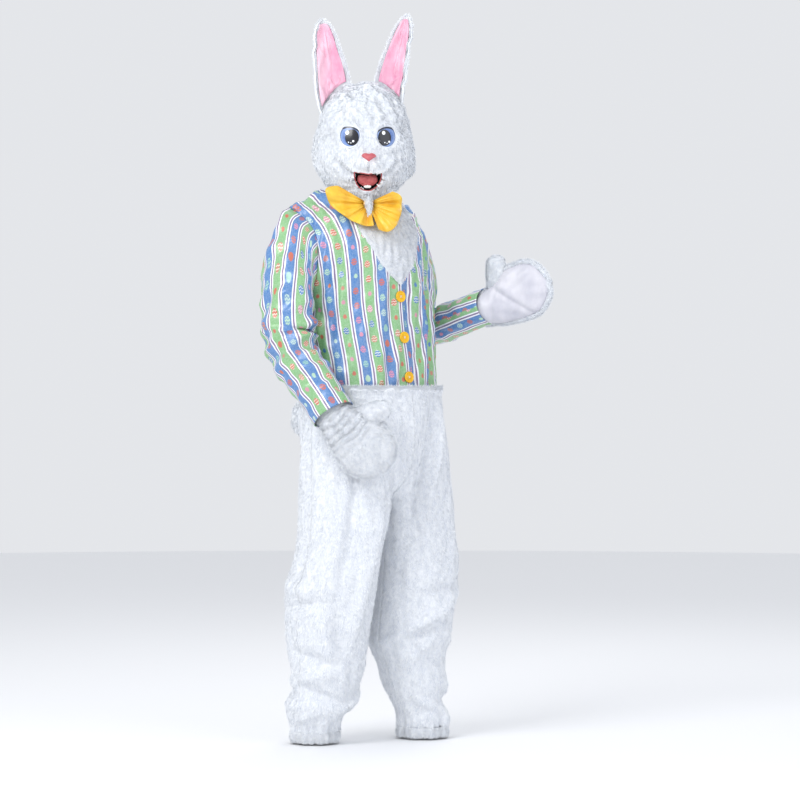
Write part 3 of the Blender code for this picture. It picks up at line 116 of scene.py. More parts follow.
class Recipe:
    """A material's node tree, built up one node at a time."""

    def __init__(self, name: str) -> None:
        """Starts a Principled material of this name."""
        self.material = bpy.data.materials.new(name)
        self.material.use_nodes = True
        self.tree = self.material.node_tree
        self.shader = self.tree.nodes["Principled BSDF"]

    def add(self, kind: str, inputs: dict | None = None, **settings: object) -> bpy.types.Node:
        """Adds a node.

        Args:
            kind: The node's type.
            inputs: Socket name or number to a value, or to the socket that feeds it.
            settings: Properties of the node.

        Returns:
            The node.
        """
        node = self.tree.nodes.new(kind)
        for key, value in settings.items():
            setattr(node, key, value)
        for key, value in (inputs or {}).items():
            self.feed(node.inputs[key], value)
        return node

    def feed(self, socket: Socket, value: object) -> None:
        """Sets a socket to a value, or links it to the socket that feeds it."""
        if isinstance(value, Socket):
            self.tree.links.new(value, socket)
        else:
            socket.default_value = value

    def maths(self, operation: str, *values: object) -> Socket:
        """Adds a Math node and returns its result."""
        return self.add("ShaderNodeMath", dict(enumerate(values)), operation=operation).outputs[0]

    def plus(self, first: object, second: object) -> Socket:
        """Returns the sum of two values."""
        return self.maths("ADD", first, second)

    def minus(self, first: object, second: object) -> Socket:
        """Returns the first value less the second."""
        return self.maths("SUBTRACT", first, second)

    def times(self, first: object, second: object) -> Socket:
        """Returns the product of two values."""
        return self.maths("MULTIPLY", first, second)

    def over(self, first: object, second: object) -> Socket:
        """Returns the first value over the second."""
        return self.maths("DIVIDE", first, second)

    def between(self, value: object, low: float, high: float) -> Socket:
        """Returns 1 where the value lies from low to high, and 0 elsewhere."""
        return self.times(self.maths("GREATER_THAN", value, low), self.maths("LESS_THAN", value, high))

    def mix(self, share: object, first: object, second: object) -> Socket:
        """Mixes two colours by a share and returns the colour."""
        node = self.add("ShaderNodeMix", {0: share, 6: first, 7: second}, data_type="RGBA")
        return node.outputs[2]

    def noise(self, where: object, scale: float, detail: float = 2.0, roughness: float = 0.5) -> Socket:
        """Adds a noise texture and returns its value."""
        inputs = {"Vector": where, "Scale": scale, "Detail": detail, "Roughness": roughness}
        return self.add("ShaderNodeTexNoise", inputs).outputs[0]

    def weave(self, scale: float, distortion: float) -> Socket:
        """Adds a wave texture for the cloth's threads and returns its value."""
        inputs = {"Vector": self.place(), "Scale": scale, "Distortion": distortion}
        return self.add("ShaderNodeTexWave", inputs).outputs[1]

    def ramp(self, value: object, low: float, high: float, start: float = 0.0,
             end: float = 1.0) -> Socket:
        """Maps low to high onto start to end, held at both ends, and returns the value."""
        return self.add("ShaderNodeMapRange", {0: value, 1: low, 2: high, 3: start, 4: end}).outputs[0]

    def bump(self, height: object, distance: float, strength: float = 1.0,
             under: object | None = None) -> Socket:
        """Adds a bump of this height in metres over another normal and returns the normal."""
        node = self.add("ShaderNodeBump", {"Height": height, "Distance": distance, "Strength": strength})
        if under is not None:
            self.tree.links.new(under, node.inputs["Normal"])
        return node.outputs[0]

    def place(self) -> Socket:
        """Returns the point in metres on the object."""
        return self.add("ShaderNodeTexCoord").outputs["Object"]

    def flat(self) -> tuple[Socket, Socket]:
        """Returns the cloth's own flat coordinates: across and along, in metres."""
        split = self.add("ShaderNodeSeparateXYZ", {0: self.add("ShaderNodeUVMap", uv_map="flat").outputs[0]})
        return split.outputs[0], split.outputs[1]

    def finish(self, **sockets: object) -> bpy.types.Material:
        """Sets the shader's sockets, named with underscores for spaces, and returns the material."""
        for key, value in sockets.items():
            self.feed(self.shader.inputs[key.replace("_", " ")], value)
        return self.material


@dataclass(frozen=True)
class PrintedSatin:
    """Vertical blue and green bands with small painted eggs, parted by white and mauve lines."""

    pitch: float = 0.034
    wander: float = 0.0009
    band_half: float = 0.338
    band_edge: float = 0.022
    line_half: float = 0.055
    egg_step: float = 0.037
    egg_stagger: float = 0.37
    egg_halves: Pair = (0.0058, 0.0088)
    egg_width: float = 0.78
    egg_taper: float = 0.22
    egg_shift: float = 0.0016
    blue: str = "457CB9"
    green: str = "80B57A"
    deep_blue: str = "2F67A6"
    deep_green: str = "659F62"
    white: str = "EEEFF3"
    mauve: str = "826C92"
    on_blue: str = "C86F5C B2D3BA C97565 D690AA 9CC8BC CB7058 BAD4CC CC8062"
    on_green: str = "C96F58 4479B6 B98461 CB7462 5584BC C68A76 C96F58 D292A6"
    stripes: tuple[str, str] = ("3C78BE", "EDEFE0")

    def build(self, name: str) -> bpy.types.Material:
        """Builds the material of this name from the cloth's flat coordinates."""
        r = Recipe(name)
        across, along = r.flat()
        wander = r.ramp(r.noise(r.place(), 9.0), 0.0, 1.0, -self.wander, self.wander)
        lanes = r.over(r.plus(across, wander), self.pitch)
        lane = r.maths("FLOOR", lanes)
        offset = r.minus(r.minus(lanes, lane), 0.5)
        away = r.maths("ABSOLUTE", offset)
        odd = r.maths("PINGPONG", lane, 1.0)
        ground = r.mix(odd, linear(self.blue), linear(self.green))
        tint = r.noise(r.place(), 260.0, 3.0)
        ground = r.mix(r.ramp(tint, 0.35, 0.75, 0.0, 0.16), ground, linear("FFFFFF"))
        eggs, egg_colour = self.eggs(r, lane, odd, offset, along)
        colour = r.mix(eggs, ground, egg_colour)
        edge = r.between(away, self.band_half - self.band_edge, self.band_half)
        colour = r.mix(edge, colour, r.mix(odd, linear(self.deep_blue), linear(self.deep_green)))
        colour = r.mix(r.maths("GREATER_THAN", away, self.band_half), colour, linear(self.white))
        colour = r.mix(r.maths("GREATER_THAN", away, 0.5 - self.line_half), colour, linear(self.mauve))
        rumple = r.bump(r.noise(r.place(), 60.0, 4.0), 0.0012, 0.5)
        normal = r.bump(r.weave(PRINT_WEAVE, 2.0), 0.00006, 0.5, rumple)
        return r.finish(Base_Color=colour, Roughness=0.31, Specular_IOR_Level=0.7, Anisotropic=0.3,
                        Normal=normal)

    def eggs(self, r: Recipe, lane: Socket, odd: Socket, offset: Socket,
             along: Socket) -> tuple[Socket, Socket]:
        """Draws the eggs down the middle of each band.

        Args:
            r: The material's recipe.
            lane: Number of the band.
            odd: 1 on every second band.
            offset: Place across the band, from -0.5 to 0.5.
            along: Place along the cloth in metres.

        Returns:
            Where the eggs are, and their colour.
        """
        steps = r.plus(r.over(along, self.egg_step), r.times(lane, self.egg_stagger))
        step = r.maths("FLOOR", steps)
        up = r.times(r.minus(r.minus(steps, step), 0.5), self.egg_step)
        key = r.add("ShaderNodeCombineXYZ", {0: lane, 1: step, 2: 3.0}).outputs[0]
        chance = r.add("ShaderNodeTexWhiteNoise", {"Vector": key}, noise_dimensions="3D").outputs[0]
        second = r.maths("FRACT", r.times(chance, 17.3))
        half_height = r.ramp(r.maths("GREATER_THAN", second, 0.35), 0.0, 1.0, *self.egg_halves)
        height = r.over(up, half_height)
        taper = r.minus(1.0, r.times(height, self.egg_taper))
        shift = r.ramp(second, 0.0, 1.0, -self.egg_shift, self.egg_shift)
        wide = r.over(r.plus(r.times(offset, self.pitch), shift), r.times(half_height, self.egg_width))
        wide = r.over(wide, taper)
        rim = r.plus(r.times(wide, wide), r.times(height, height))
        zigzag = r.times(r.maths("SINE", r.times(wide, 7.0)), r.times(second, 1.6))
        rows = r.maths("SINE", r.plus(r.times(height, 9.0), zigzag))
        drawn = r.times(r.maths("GREATER_THAN", rows, 0.5), r.maths("GREATER_THAN", second, 0.38))
        paints = [self.chosen(r, chance, codes.split()) for codes in (self.on_blue, self.on_green)]
        stripe = r.mix(odd, *(linear(code) for code in self.stripes))
        paint = r.mix(r.times(drawn, 0.75), r.mix(odd, *paints), stripe)
        return r.maths("LESS_THAN", rim, 1.0), paint

    def chosen(self, r: Recipe, chance: object, codes: list[str]) -> Socket:
        """Picks one of these colours by chance, from 0 to 1."""
        ramp = r.add("ShaderNodeValToRGB", {0: chance})
        ramp.color_ramp.interpolation = "CONSTANT"
        marks = ramp.color_ramp.elements
        for place, code in enumerate(codes):
            mark = marks[place] if place < 2 else marks.new(place / len(codes))
            mark.position = place / len(codes)
            mark.color = linear(code)
        return ramp.outputs[0]


@dataclass(frozen=True)
class Plush:
    """Short white plush: cool shade between the tufts and a soft broken surface."""

    light: str
    shade: str
    tuft: float
    depth: float

    def build(self, name: str) -> bpy.types.Material:
        """Builds the material of this name."""
        r = Recipe(name)
        where = r.place()
        lay = r.add("ShaderNodeMapping", {0: where, 3: (1.0, 1.0, 0.45)}).outputs[0]
        tufts = r.noise(lay, 1 / self.tuft, 4.0, 0.62)
        strands = r.noise(lay, 4.5 / self.tuft, 3.0, 0.6)
        cloud = r.noise(where, 14.0, 2.0)
        shade = r.times(r.ramp(tufts, 0.36, 0.62, 1.0, 0.0), 0.62)
        shade = r.plus(shade, r.ramp(strands, 0.35, 0.65, 0.25, 0.0))
        shade = r.plus(shade, r.ramp(cloud, 0.35, 0.7, 0.12, 0.0))
        colour = r.mix(shade, linear(self.light), linear(self.shade))
        normal = r.bump(strands, self.depth * 0.5, 0.8, r.bump(tufts, self.depth, 0.9))
        return r.finish(Base_Color=colour, Roughness=0.92, Specular_IOR_Level=0.15, Sheen_Weight=0.25,
                        Sheen_Roughness=0.5, Normal=normal)


@dataclass(frozen=True)
class Satin:
    """Plain satin with a close weave, fine creases with painted shade in their hollows, and a soft shine."""

    # light is the colour on the creases' crests, deep the painted shade in their hollows
    light: str
    deep: str
    roughness: float
    crease: float

    def build(self, name: str) -> bpy.types.Material:
        """Builds the material of this name."""
        r = Recipe(name)
        lay = r.add("ShaderNodeMapping", {0: r.place(), 3: (1.0, 1.0, 0.5)}).outputs[0]
        creases = r.noise(lay, 24.0, 4.0, 0.55)
        # Painted shade: the deep colour where the crease noise dips, the light one where it rises.
        colour = r.mix(r.ramp(creases, 0.32, 0.66), linear(self.deep), linear(self.light))
        normal = r.bump(r.weave(SATIN_WEAVE, 3.0), 0.00005, 0.5, r.bump(creases, self.crease, 0.7))
        return r.finish(Base_Color=colour, Roughness=self.roughness, Specular_IOR_Level=0.45,
                        Anisotropic=0.35, Normal=normal)


@dataclass(frozen=True)
class Moulded:
    """A moulded piece in one colour, with faint mottling and a small grain."""

    light: str
    deep: str
    roughness: float
    grain: float

    def build(self, name: str) -> bpy.types.Material:
        """Builds the material of this name."""
        r = Recipe(name)
        mottle = r.noise(r.place(), 120.0, 3.0)
        colour = r.mix(r.ramp(mottle, 0.3, 0.7), linear(self.deep), linear(self.light))
        normal = r.bump(r.noise(r.place(), 900.0, 3.0), self.grain, 0.6)
        return r.finish(Base_Color=colour, Roughness=self.roughness, Normal=normal)


@dataclass(frozen=True)
class PaintedEye:
    """An eye painted on a dome: a blue ring, a dark pupil with lights, and a pale lid under a dark line."""

    side: int
    lights: tuple = (
        ((-0.0070, 0.0070), (0.0043, 0.0050)), ((0.0075, -0.0150), (0.0026, 0.0028)),
        ((-0.0040, -0.0175), (0.0015, 0.0016)), ((0.0018, -0.0190), (0.0013, 0.0014)),
    )

    def oval(self, r: Recipe, centre: Pair, size: Pair) -> Socket:
        """Returns the squared distance from an oval's centre, 1 on its edge."""
        wide, high = (r.over(r.minus(place, middle), half)
                      for place, middle, half in zip(r.flat(), centre, size))
        return r.plus(r.times(wide, wide), r.times(high, high))

    def build(self, name: str) -> bpy.types.Material:
        """Builds the material of this name from the dome's own coordinates about its middle."""
        r = Recipe(name)
        across, up = r.flat()
        ring = self.oval(r, (0.0, -0.002), (0.0232, 0.0262))
        streaks = r.noise(r.place(), 380.0, 3.0)
        iris = r.mix(r.ramp(ring, 0.40, 1.0), linear("4A6BAE"), linear("8CA6D8"))
        iris = r.mix(r.ramp(streaks, 0.42, 0.7, 0.0, 0.30), iris, linear("B9CCEC"))
        colour = r.mix(r.maths("LESS_THAN", ring, 0.96), linear("46618F"), iris)
        pupil = self.oval(r, (-self.side * 0.0046, -0.0052), (0.0172, 0.0208))
        colour = r.mix(r.ramp(pupil, 0.96, 1.04, 1.0, 0.0), colour, linear("171922"))
        for centre, size in self.lights:
            colour = r.mix(r.ramp(self.oval(r, centre, size), 0.90, 1.10, 1.0, 0.0), colour, linear("FBFDFF"))
        slant = r.times(across, self.side * 0.13)
        curve = r.times(r.times(across, across), -16.0)
        lid = r.minus(up, r.plus(r.plus(slant, curve), 0.0225))
        colour = r.mix(r.ramp(lid, -0.0050, -0.0036), colour, linear("2A2D3A"))
        colour = r.mix(r.ramp(lid, 0.0002, 0.0012), colour, linear("D9DFEA"))
        return r.finish(Base_Color=colour, Roughness=0.22, Coat_Weight=0.3, Coat_Roughness=0.10)


# columns of Plush: light, shade, tuft, depth; of Satin: light, deep (painted shade in creases), roughness,
# crease; of Moulded: light, deep, roughness, grain
RECIPES = {
    # Satin weave of filament polyester, printed: a long soft shine over flat ink.
    Cloth.PRINT: PrintedSatin(),
    # Sheared acrylic plush: matt, with small tufts and cool shade between them.
    Cloth.PLUSH: Plush("F2F4F6", "D3D8E1", 0.010, 0.0014),
    # The same plush on the mask, a little longer and brushed up, so its lumps are larger and whiter.
    Cloth.HEAD_PLUSH: Plush("FDFEFF", "E6EBF3", 0.012, 0.0012),
    # Single tufts of acrylic pile: matt white, hardly any grain.
    Cloth.PILE: Moulded("F7F9FB", "E6EAF0", 0.9, 0.0001),
    # Plain polyester satin: creases are bumps with painted shade, the deep colour, in their hollows; the
    # weave shows as a faint line.
    Cloth.WHITE_SATIN: Satin("D8D7DE", "C2C2CD", 0.42, 0.0014),
    Cloth.PINK_SATIN: Satin("F8CCDB", "DB8FAF", 0.40, 0.0026),
    Cloth.YELLOW_SATIN: Satin("F5CC48", "DDA22A", 0.33, 0.0018),
    # Cast polyester resin, polished: a small sharp highlight.
    Cloth.BUTTON: Moulded("F6C21B", "EBAE0A", 0.26, 0.00002),
    # Enamel on a vacuum-formed ABS dome: even colours under a gloss coat.
    Cloth.EYE_RIGHT: PaintedEye(RIGHT),
    Cloth.EYE_LEFT: PaintedEye(LEFT),
    # Foam with a painted skin: dull, slightly mottled.
    Cloth.NOSE: Moulded("CE6F74", "B9565F", 0.55, 0.0003),
    # Pressed felt: no shine, dark enough to read as a hole.
    Cloth.MOUTH: Moulded("1E1412", "0E0A0A", 0.8, 0.0004),
    Cloth.TONGUE: Moulded("CF6B6A", "B04A4E", 0.55, 0.0005),
    # Moulded ABS: smooth, half gloss.
    Cloth.TEETH: Moulded("FFFFFF", "F1F0EA", 0.35, 0.0001),
    # Spun polyester thread: matt cream against the yellow.
    Cloth.THREAD: Moulded("F4F1E8", "D8D3C6", 0.8, 0.0002),
}


def smooth_step(share: Array) -> Array:
    """0 below 0, 1 above 1, and three squares less two cubes of the share between."""
    share = np.clip(share, 0.0, 1.0)
    return share * share * (3 - 2 * share)


def smooth_curve(knots: Array, values: Array, at: Array) -> Array:
    """Reads a cubic curve through the knots, whose slope at each knot is that of its neighbours.

    Args:
        knots: Rising places.
        values: One value, or one row of values, for each knot.
        at: Places to read, held inside the knots.

    Returns:
        The values there.
    """
    knots = np.asarray(knots, float)
    values = np.asarray(values, float)
    at = np.clip(np.asarray(at, float), knots[0], knots[-1])
    slopes = np.gradient(values, knots, axis=0)
    i = np.clip(np.searchsorted(knots, at, side="right") - 1, 0, len(knots) - 2)
    step = knots[i + 1] - knots[i]
    t = (at - knots[i]) / step
    if values.ndim > 1:
        t, step = t[..., None], step[..., None]
    start = (1 + 2 * t) * (1 - t) ** 2 * values[i] + t * (1 - t) ** 2 * step * slopes[i]
    end = t * t * (3 - 2 * t) * values[i + 1] - t * t * (1 - t) * step * slopes[i + 1]
    return start + end


def read(table: Array, at: Array) -> Array:
    """The table's later columns, each read along a smooth curve where its first column says at."""
    return np.moveaxis(smooth_curve(table[:, 0], table[:, 1:], at), -1, 0)


def hill(place: Array, middle: float, width: float) -> Array:
    """A soft hill: e to minus the square of the distance from its middle over its width."""
    return np.exp(-((place - middle) / width) ** 2)


def full_turn(count: int) -> Array:
    """Even angles round a full turn, without its end."""
    return np.linspace(0, 2 * math.pi, count, endpoint=False)


def unit(vectors: Array) -> Array:
    """The vectors at length 1."""
    return vectors / np.maximum(np.linalg.norm(vectors, axis=-1, keepdims=True), 1e-12)


def turned(points: Array, angle: float | Array) -> Array:
    """Points turned about the upright axis: x cos - y sin, x sin + y cos, z."""
    x, y = points[..., 0], points[..., 1]
    return np.stack([x * np.cos(angle) - y * np.sin(angle), x * np.sin(angle) + y * np.cos(angle),
                     points[..., 2]], axis=-1)


def waves(points: Array, length: float, seed: int, count: int = 18) -> Array:
    """Smooth lumps: a sum of sine waves of about one length, in seeded directions and phases.

    Args:
        points: Places in metres.
        length: Wavelength in metres.
        seed: Seed of the directions and phases.
        count: Number of waves.

    Returns:
        Heights of about -1 to 1.
    """
    chance = np.random.default_rng(seed)
    ways = unit(chance.normal(size=(count, 3))) * 2 * math.pi / length
    ways = ways * chance.uniform(0.6, 1.6, size=(count, 1))
    phases = chance.uniform(0, 2 * math.pi, count)
    total = np.zeros(points.shape[:-1])
    for way, phase in zip(ways, phases):
        total += np.sin(points @ way + phase)
    return total * math.sqrt(2 / count) / 1.6


def creases(points: Array, length: float, seed: int) -> Array:
    """Sharp ridges of crumpled cloth: one less the size of a wave sum, to the power of three.

    Args:
        points: Places in metres.
        length: Wavelength in metres.
        seed: Seed of the waves.

    Returns:
        Heights from about -0.4 to 0.6.
    """
    return np.clip(1 - 1.1 * np.abs(waves(points, length, seed, 10)), 0, 1) ** 3 - 0.4


@dataclass(frozen=True)
class Fold:
    """One soft fold of the cloth: where it is, how long and wide, its tilt in degrees and its height."""

    around: float
    along: float
    half_length: float
    half_width: float
    tilt: float
    height: float


def folds_at(folds: tuple, around: Array, along: Array, girth: float, length: float) -> Array:
    """Height of all folds: each is its height times e to minus the squares of its run and its width.

    Args:
        folds: Rows of place round, place along, half length, half width, tilt and height.
        around: Place round the cloth.
        along: Place along the cloth.
        girth: Metres for one unit of around.
        length: Metres for one unit of along.

    Returns:
        Height in metres.
    """
    height = np.zeros(np.broadcast(around, along).shape)
    for row in folds:
        fold = Fold(*row)
        side = (around - fold.around) * girth
        up = (along - fold.along) * length
        slope = math.radians(fold.tilt)
        run = side * math.cos(slope) + up * math.sin(slope)
        across = up * math.cos(slope) - side * math.sin(slope)
        away = (run / fold.half_length) ** 2 + (across / fold.half_width) ** 2
        height = height + fold.height * np.exp(-away)
    return height


@dataclass
class Surface:
    """A grid of points with flat coordinates in metres, open or joined round its columns."""

    points: Array
    closed: bool = False
    flat: Array | None = None
    relief: Array | None = None
    tip: bool = False

    def corners(self, grid: Array) -> tuple:
        """The four corners of each quad of a grid like this one."""
        after = np.roll(grid, -1, axis=1) if self.closed else grid[:, 1:]
        here = grid if self.closed else grid[:, :-1]
        return here[:-1], after[:-1], after[1:], here[1:]

    def normals(self) -> Array:
        """Unit normals: the cross product of the steps along the rows and the columns."""
        if self.closed:
            across = np.roll(self.points, -1, axis=1) - np.roll(self.points, 1, axis=1)
        else:
            across = np.gradient(self.points, axis=1)
        found = unit(np.cross(across, np.gradient(self.points, axis=0)))
        if self.tip:
            found[-1] = unit(found[-2].mean(axis=0))
        return found

    def facing(self, centre: Array) -> "Surface":
        """This surface with its columns turned round if it would face the centre."""
        outward = np.sum(self.normals() * (self.points - centre))
        if outward < 0:
            self.points = self.points[:, ::-1].copy()
            if self.flat is not None:
                self.flat = self.flat[:, ::-1].copy()
            if self.relief is not None:
                self.relief = self.relief[:, ::-1].copy()
        return self

    def settled(self) -> "Surface":
        """This surface with each point moved out along its normal by its relief."""
        self.points = self.points + self.relief[..., None] * self.normals()
        return self

    def steps(self) -> tuple[Array, Array]:
        """Lengths of the steps along the rows, all the way round if closed, and along the columns."""
        ring = np.concatenate([self.points, self.points[:, :1]], axis=1) if self.closed else self.points
        return tuple(np.linalg.norm(np.diff(ring, axis=axis), axis=-1) for axis in (1, 0))

    def on_head(self) -> "Surface":
        """This surface turned with the head."""
        self.points = turned(self.points, HEAD_TURN)
        return self

    def spans(self) -> Triple:
        """Longest row, longest column and area, in metres: sums of the steps and of the quads."""
        along_rows, along_columns = self.steps()
        width = along_rows.sum(axis=1).max()
        length = along_columns.sum(axis=0).max()
        a, b, c, d = self.corners(self.points)
        area = np.linalg.norm(np.cross(c - a, d - b), axis=-1).sum() / 2
        return float(width), float(length), float(area)

    def arc_flat(self, middle: float) -> Array:
        """Flat coordinates measured on the cloth: metres from a middle column, and metres from the first row.

        Args:
            middle: Share of the way across that has 0.

        Returns:
            Across and along for each point, with one more column where the grid is joined round.
        """
        steps, rise = self.steps()
        across = np.concatenate([np.zeros((len(steps), 1)), np.cumsum(steps, axis=1)], axis=1)
        place = middle * steps.shape[1]
        low = int(min(math.floor(place), steps.shape[1] - 1))
        zero = across[:, low] + (across[:, low + 1] - across[:, low]) * (place - low)
        along = np.concatenate([[0.0], np.cumsum(rise.mean(axis=1))])
        return np.stack([across - zero[:, None], np.broadcast_to(along[:, None], across.shape)], axis=-1)


@dataclass(frozen=True)
class Nap:
    """How pile stands: number of blades, their length and root width in metres, and how upright they are."""

    count: int
    length: float
    width: float = 0.0016
    rise: float = 0.32


# The columns are those of Nap. Real pile is finer and far denser, so a blade stands for a tuft of it.
NAPS = {
    "v": Nap(17000, 0.0085),
    "collar": Nap(8000, 0.008),
    "leg": Nap(22000, 0.0088, 0.0026),
    "waist": Nap(6500, 0.0125, 0.0020, 0.55),
    "ankle": Nap(9000, 0.007),
    "tail": Nap(11000, 0.012, 0.002),
    "mitt": Nap(15000, 0.0100, 0.0018, 0.42),
    "mitt_rim": Nap(7000, 0.0085, 0.0018, 0.62),
    "mitt_thumb": Nap(5500, 0.008, 0.0018),
    "chin_lock": Nap(5200, 0.013, 0.0018, 0.30),
    "mask": Nap(48000, 0.0100, 0.0022, 0.40),
    "ear": Nap(10000, 0.0085, 0.0018),
    "ear_rim": Nap(6500, 0.0075, 0.0018),
}


class Maker:
    """Puts surfaces into the scene as finished pieces."""

    def __init__(self) -> None:
        """Builds every finish once."""
        self.finishes = {cloth: recipe.build(cloth.value) for cloth, recipe in RECIPES.items()}

    def mesh(self, name: str, points: Array, quads: Array,
             flat: Array | None = None) -> bpy.types.Mesh:
        """Fills a mesh with faces of one size.

        Args:
            name: Name of the mesh.
            points: Vertices.
            quads: Rows of vertex numbers, three or four to a row.
            flat: Flat coordinates for each corner, or None.

        Returns:
            The mesh.
        """
        mesh = bpy.data.meshes.new(name)
        count, sides = quads.shape
        mesh.vertices.add(len(points))
        mesh.vertices.foreach_set("co", np.ascontiguousarray(points, np.float32).reshape(-1))
        mesh.loops.add(count * sides)
        mesh.loops.foreach_set("vertex_index", np.ascontiguousarray(quads, np.int32).reshape(-1))
        mesh.polygons.add(count)
        mesh.polygons.foreach_set("loop_start", np.arange(0, count * sides, sides, dtype=np.int32))
        mesh.polygons.foreach_set("loop_total", np.full(count, sides, np.int32))
        mesh.polygons.foreach_set("use_smooth", np.ones(count, bool))
        if flat is not None:
            layer = mesh.uv_layers.new(name="flat")
            layer.data.foreach_set("uv", np.ascontiguousarray(flat, np.float32).reshape(-1))
        mesh.update(calc_edges=True)
        mesh.validate()
        return mesh

    def piece(self, name: str, mesh: bpy.types.Mesh, cloth: Cloth,
              nodes: tuple[str, ...] = ()) -> bpy.types.Object:
        """Links a mesh as a piece that rides on the costume and stands for these solids."""
        made = bpy.data.objects.new(name, mesh)
        mesh.materials.append(self.finishes[cloth])
        bpy.context.scene.collection.objects.link(made)
        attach(made, BODY)
        if nodes:
            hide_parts(*nodes)
        log.info("%s: %d faces", name, len(mesh.polygons))
        return made

    def sheet(self, name: str, surface: Surface, cloth: Cloth, wall: float, nodes: tuple[str, ...] = (),
              held: str | None = None, keep: Array | None = None) -> bpy.types.Object:
        """Args:
            name: The piece's name.
            surface: The outer side.
            cloth: Its finish.
            wall: Thickness in metres.
            nodes: Solids that it stands for.
            held: How the cloth is held, or None where it is a stiffened form and no sheet.
            keep: Quads to keep, or None for all.

        Returns:
            The piece.
        """
        points = surface.points
        rows, columns = points.shape[:2]
        below = rows * columns
        inner = points - wall * surface.normals()
        index = np.arange(below).reshape(rows, columns)
        a, b, c, d = (corner.reshape(-1) for corner in surface.corners(index))
        keep = np.ones(len(a), bool) if keep is None else keep.reshape(-1)
        outside = np.stack([a, b, c, d], axis=-1)[keep]
        inside = outside[:, ::-1] + below
        edges = np.concatenate([outside[:, [i, (i + 1) % 4]] for i in range(4)])
        key = np.sort(edges, axis=1).astype(np.int64) @ (below, 1)
        _, first, count = np.unique(key, return_index=True, return_counts=True)
        rim = edges[first[count == 1]]
        if surface.tip:
            rim = rim[~(rim >= below - columns).all(axis=1)]
        rims = np.stack([rim[:, 1], rim[:, 0], rim[:, 0] + below, rim[:, 1] + below], axis=-1)
        quads = np.concatenate([outside, inside, rims])
        flat = None
        if surface.flat is not None:
            wide = surface.flat
            ahead, here = wide[:, 1:], wide[:, :-1]
            square = np.stack([here[:-1], ahead[:-1], ahead[1:], here[1:]], axis=2).reshape(-1, 4, 2)[keep]
            near = wide[:, :columns].reshape(-1, 2)
            flat = np.concatenate([square, square[:, ::-1], np.concatenate([near, near])[rims]])
        mesh = self.mesh(name, np.concatenate([points.reshape(-1, 3), inner.reshape(-1, 3)]), quads, flat)
        made = self.piece(name, mesh, cloth, nodes)
        if held:
            width, length, area = surface.spans()
            cut = (round(width + 0.005, 2), round(length + 0.005, 2))
            area = np.clip(area, LEAST_AREA_SHARE * cut[0] * cut[1], cut[0] * cut[1])
        return made

    def solid(self, name: str, surface: Surface, cloth: Cloth,
              nodes: tuple[str, ...] = ()) -> bpy.types.Object:
        """Makes a closed piece from rings, with a fan of triangles over the first and the last ring.

        Args:
            name: The piece's name.
            surface: Rings joined round their columns.
            cloth: Its finish.
            nodes: Solids that it stands for.

        Returns:
            The piece.
        """
        points = surface.points
        rows, columns = points.shape[:2]
        index = np.arange(rows * columns).reshape(rows, columns)
        a, b, c, d = (corner.reshape(-1) for corner in surface.corners(index))
        first, last = rows * columns, rows * columns + 1
        after = np.roll(index, -1, axis=1)
        low = np.stack([after[0], index[0], np.full(columns, first)], axis=-1)
        high = np.stack([index[-1], after[-1], np.full(columns, last)], axis=-1)
        faces = np.concatenate([np.stack([a, b, c], axis=-1), np.stack([a, c, d], axis=-1), low, high])
        ends = np.stack([points[0].mean(axis=0), points[-1].mean(axis=0)])
        flat = None
        if surface.flat is not None:
            wide = surface.flat.reshape(-1, 2)
            middle = np.stack([surface.flat[0].mean(axis=0), surface.flat[-1].mean(axis=0)])
            flat = np.concatenate([wide, middle])[faces]
        mesh = self.mesh(name, np.concatenate([points.reshape(-1, 3), ends]), faces, flat)
        return self.piece(name, mesh, cloth, nodes)

    def pile(self, name: str, surface: Surface, nap: Nap, lay: Triple, seed: int,
             keep: Array | None = None) -> None:
        """Sets short blades of pile on a surface: each is one slim triangle, from its root to its bent tip.

        Args:
            name: The piece's name.
            surface: Where the pile grows.
            nap: Number and size of the blades.
            lay: Way that the pile leans.
            seed: Seed of the places and the leanings.
            keep: Quads that carry pile, or None for all.
        """
        chance = np.random.default_rng(seed)
        a, b, c, d = (corner.reshape(-1, 3) for corner in surface.corners(surface.points))
        normals = unit(np.cross(c - a, d - b))
        area = np.linalg.norm(np.cross(c - a, d - b), axis=-1)
        if keep is not None:
            area = area * keep.reshape(-1)
        count = nap.count
        quad = chance.choice(len(area), size=count, p=area / area.sum())
        s, t = chance.uniform(0, 1, (2, count, 1))
        root = (a[quad] * (1 - s) + b[quad] * s) * (1 - t) + (d[quad] * (1 - s) + c[quad] * s) * t
        out = normals[quad]
        lean = np.array(lay) + chance.normal(0, 0.38, (count, 3))
        lean = unit(lean - np.sum(lean * out, axis=-1, keepdims=True) * out)
        side = unit(np.cross(lean, out) + chance.normal(0, 0.12, (count, 3)))
        size = nap.length * chance.uniform(0.6, 1.15, (count, 1))
        tip = root + size * (nap.rise * out + math.sqrt(1 - nap.rise ** 2) * lean)
        half = side * nap.width / 2
        sunk = 0.0006 * out
        points = np.stack([root - half - sunk, root + half - sunk, tip], axis=1).reshape(-1, 3)
        self.piece(name, self.mesh(name, points, np.arange(count * 3).reshape(-1, 3)), Cloth.PILE)


# share of the way up, half width, depth in front, depth behind, centre y
TORSO = np.array([
    (0.00, 0.190, 0.139, 0.139, -0.027),
    (0.15, 0.187, 0.143, 0.139, -0.020),
    (0.30, 0.185, 0.146, 0.135, -0.012),
    (0.42, 0.186, 0.151, 0.130, -0.003),
    (0.52, 0.187, 0.155, 0.125, 0.005),
    (0.65, 0.187, 0.150, 0.122, 0.008),
    (0.78, 0.186, 0.135, 0.117, 0.014),
    (0.87, 0.187, 0.108, 0.092, 0.026),
    (0.93, 0.190, 0.078, 0.058, 0.038),
    (0.97, 0.194, 0.044, 0.032, 0.045),
    (1.00, 0.197, 0.000, 0.000, 0.050),
])
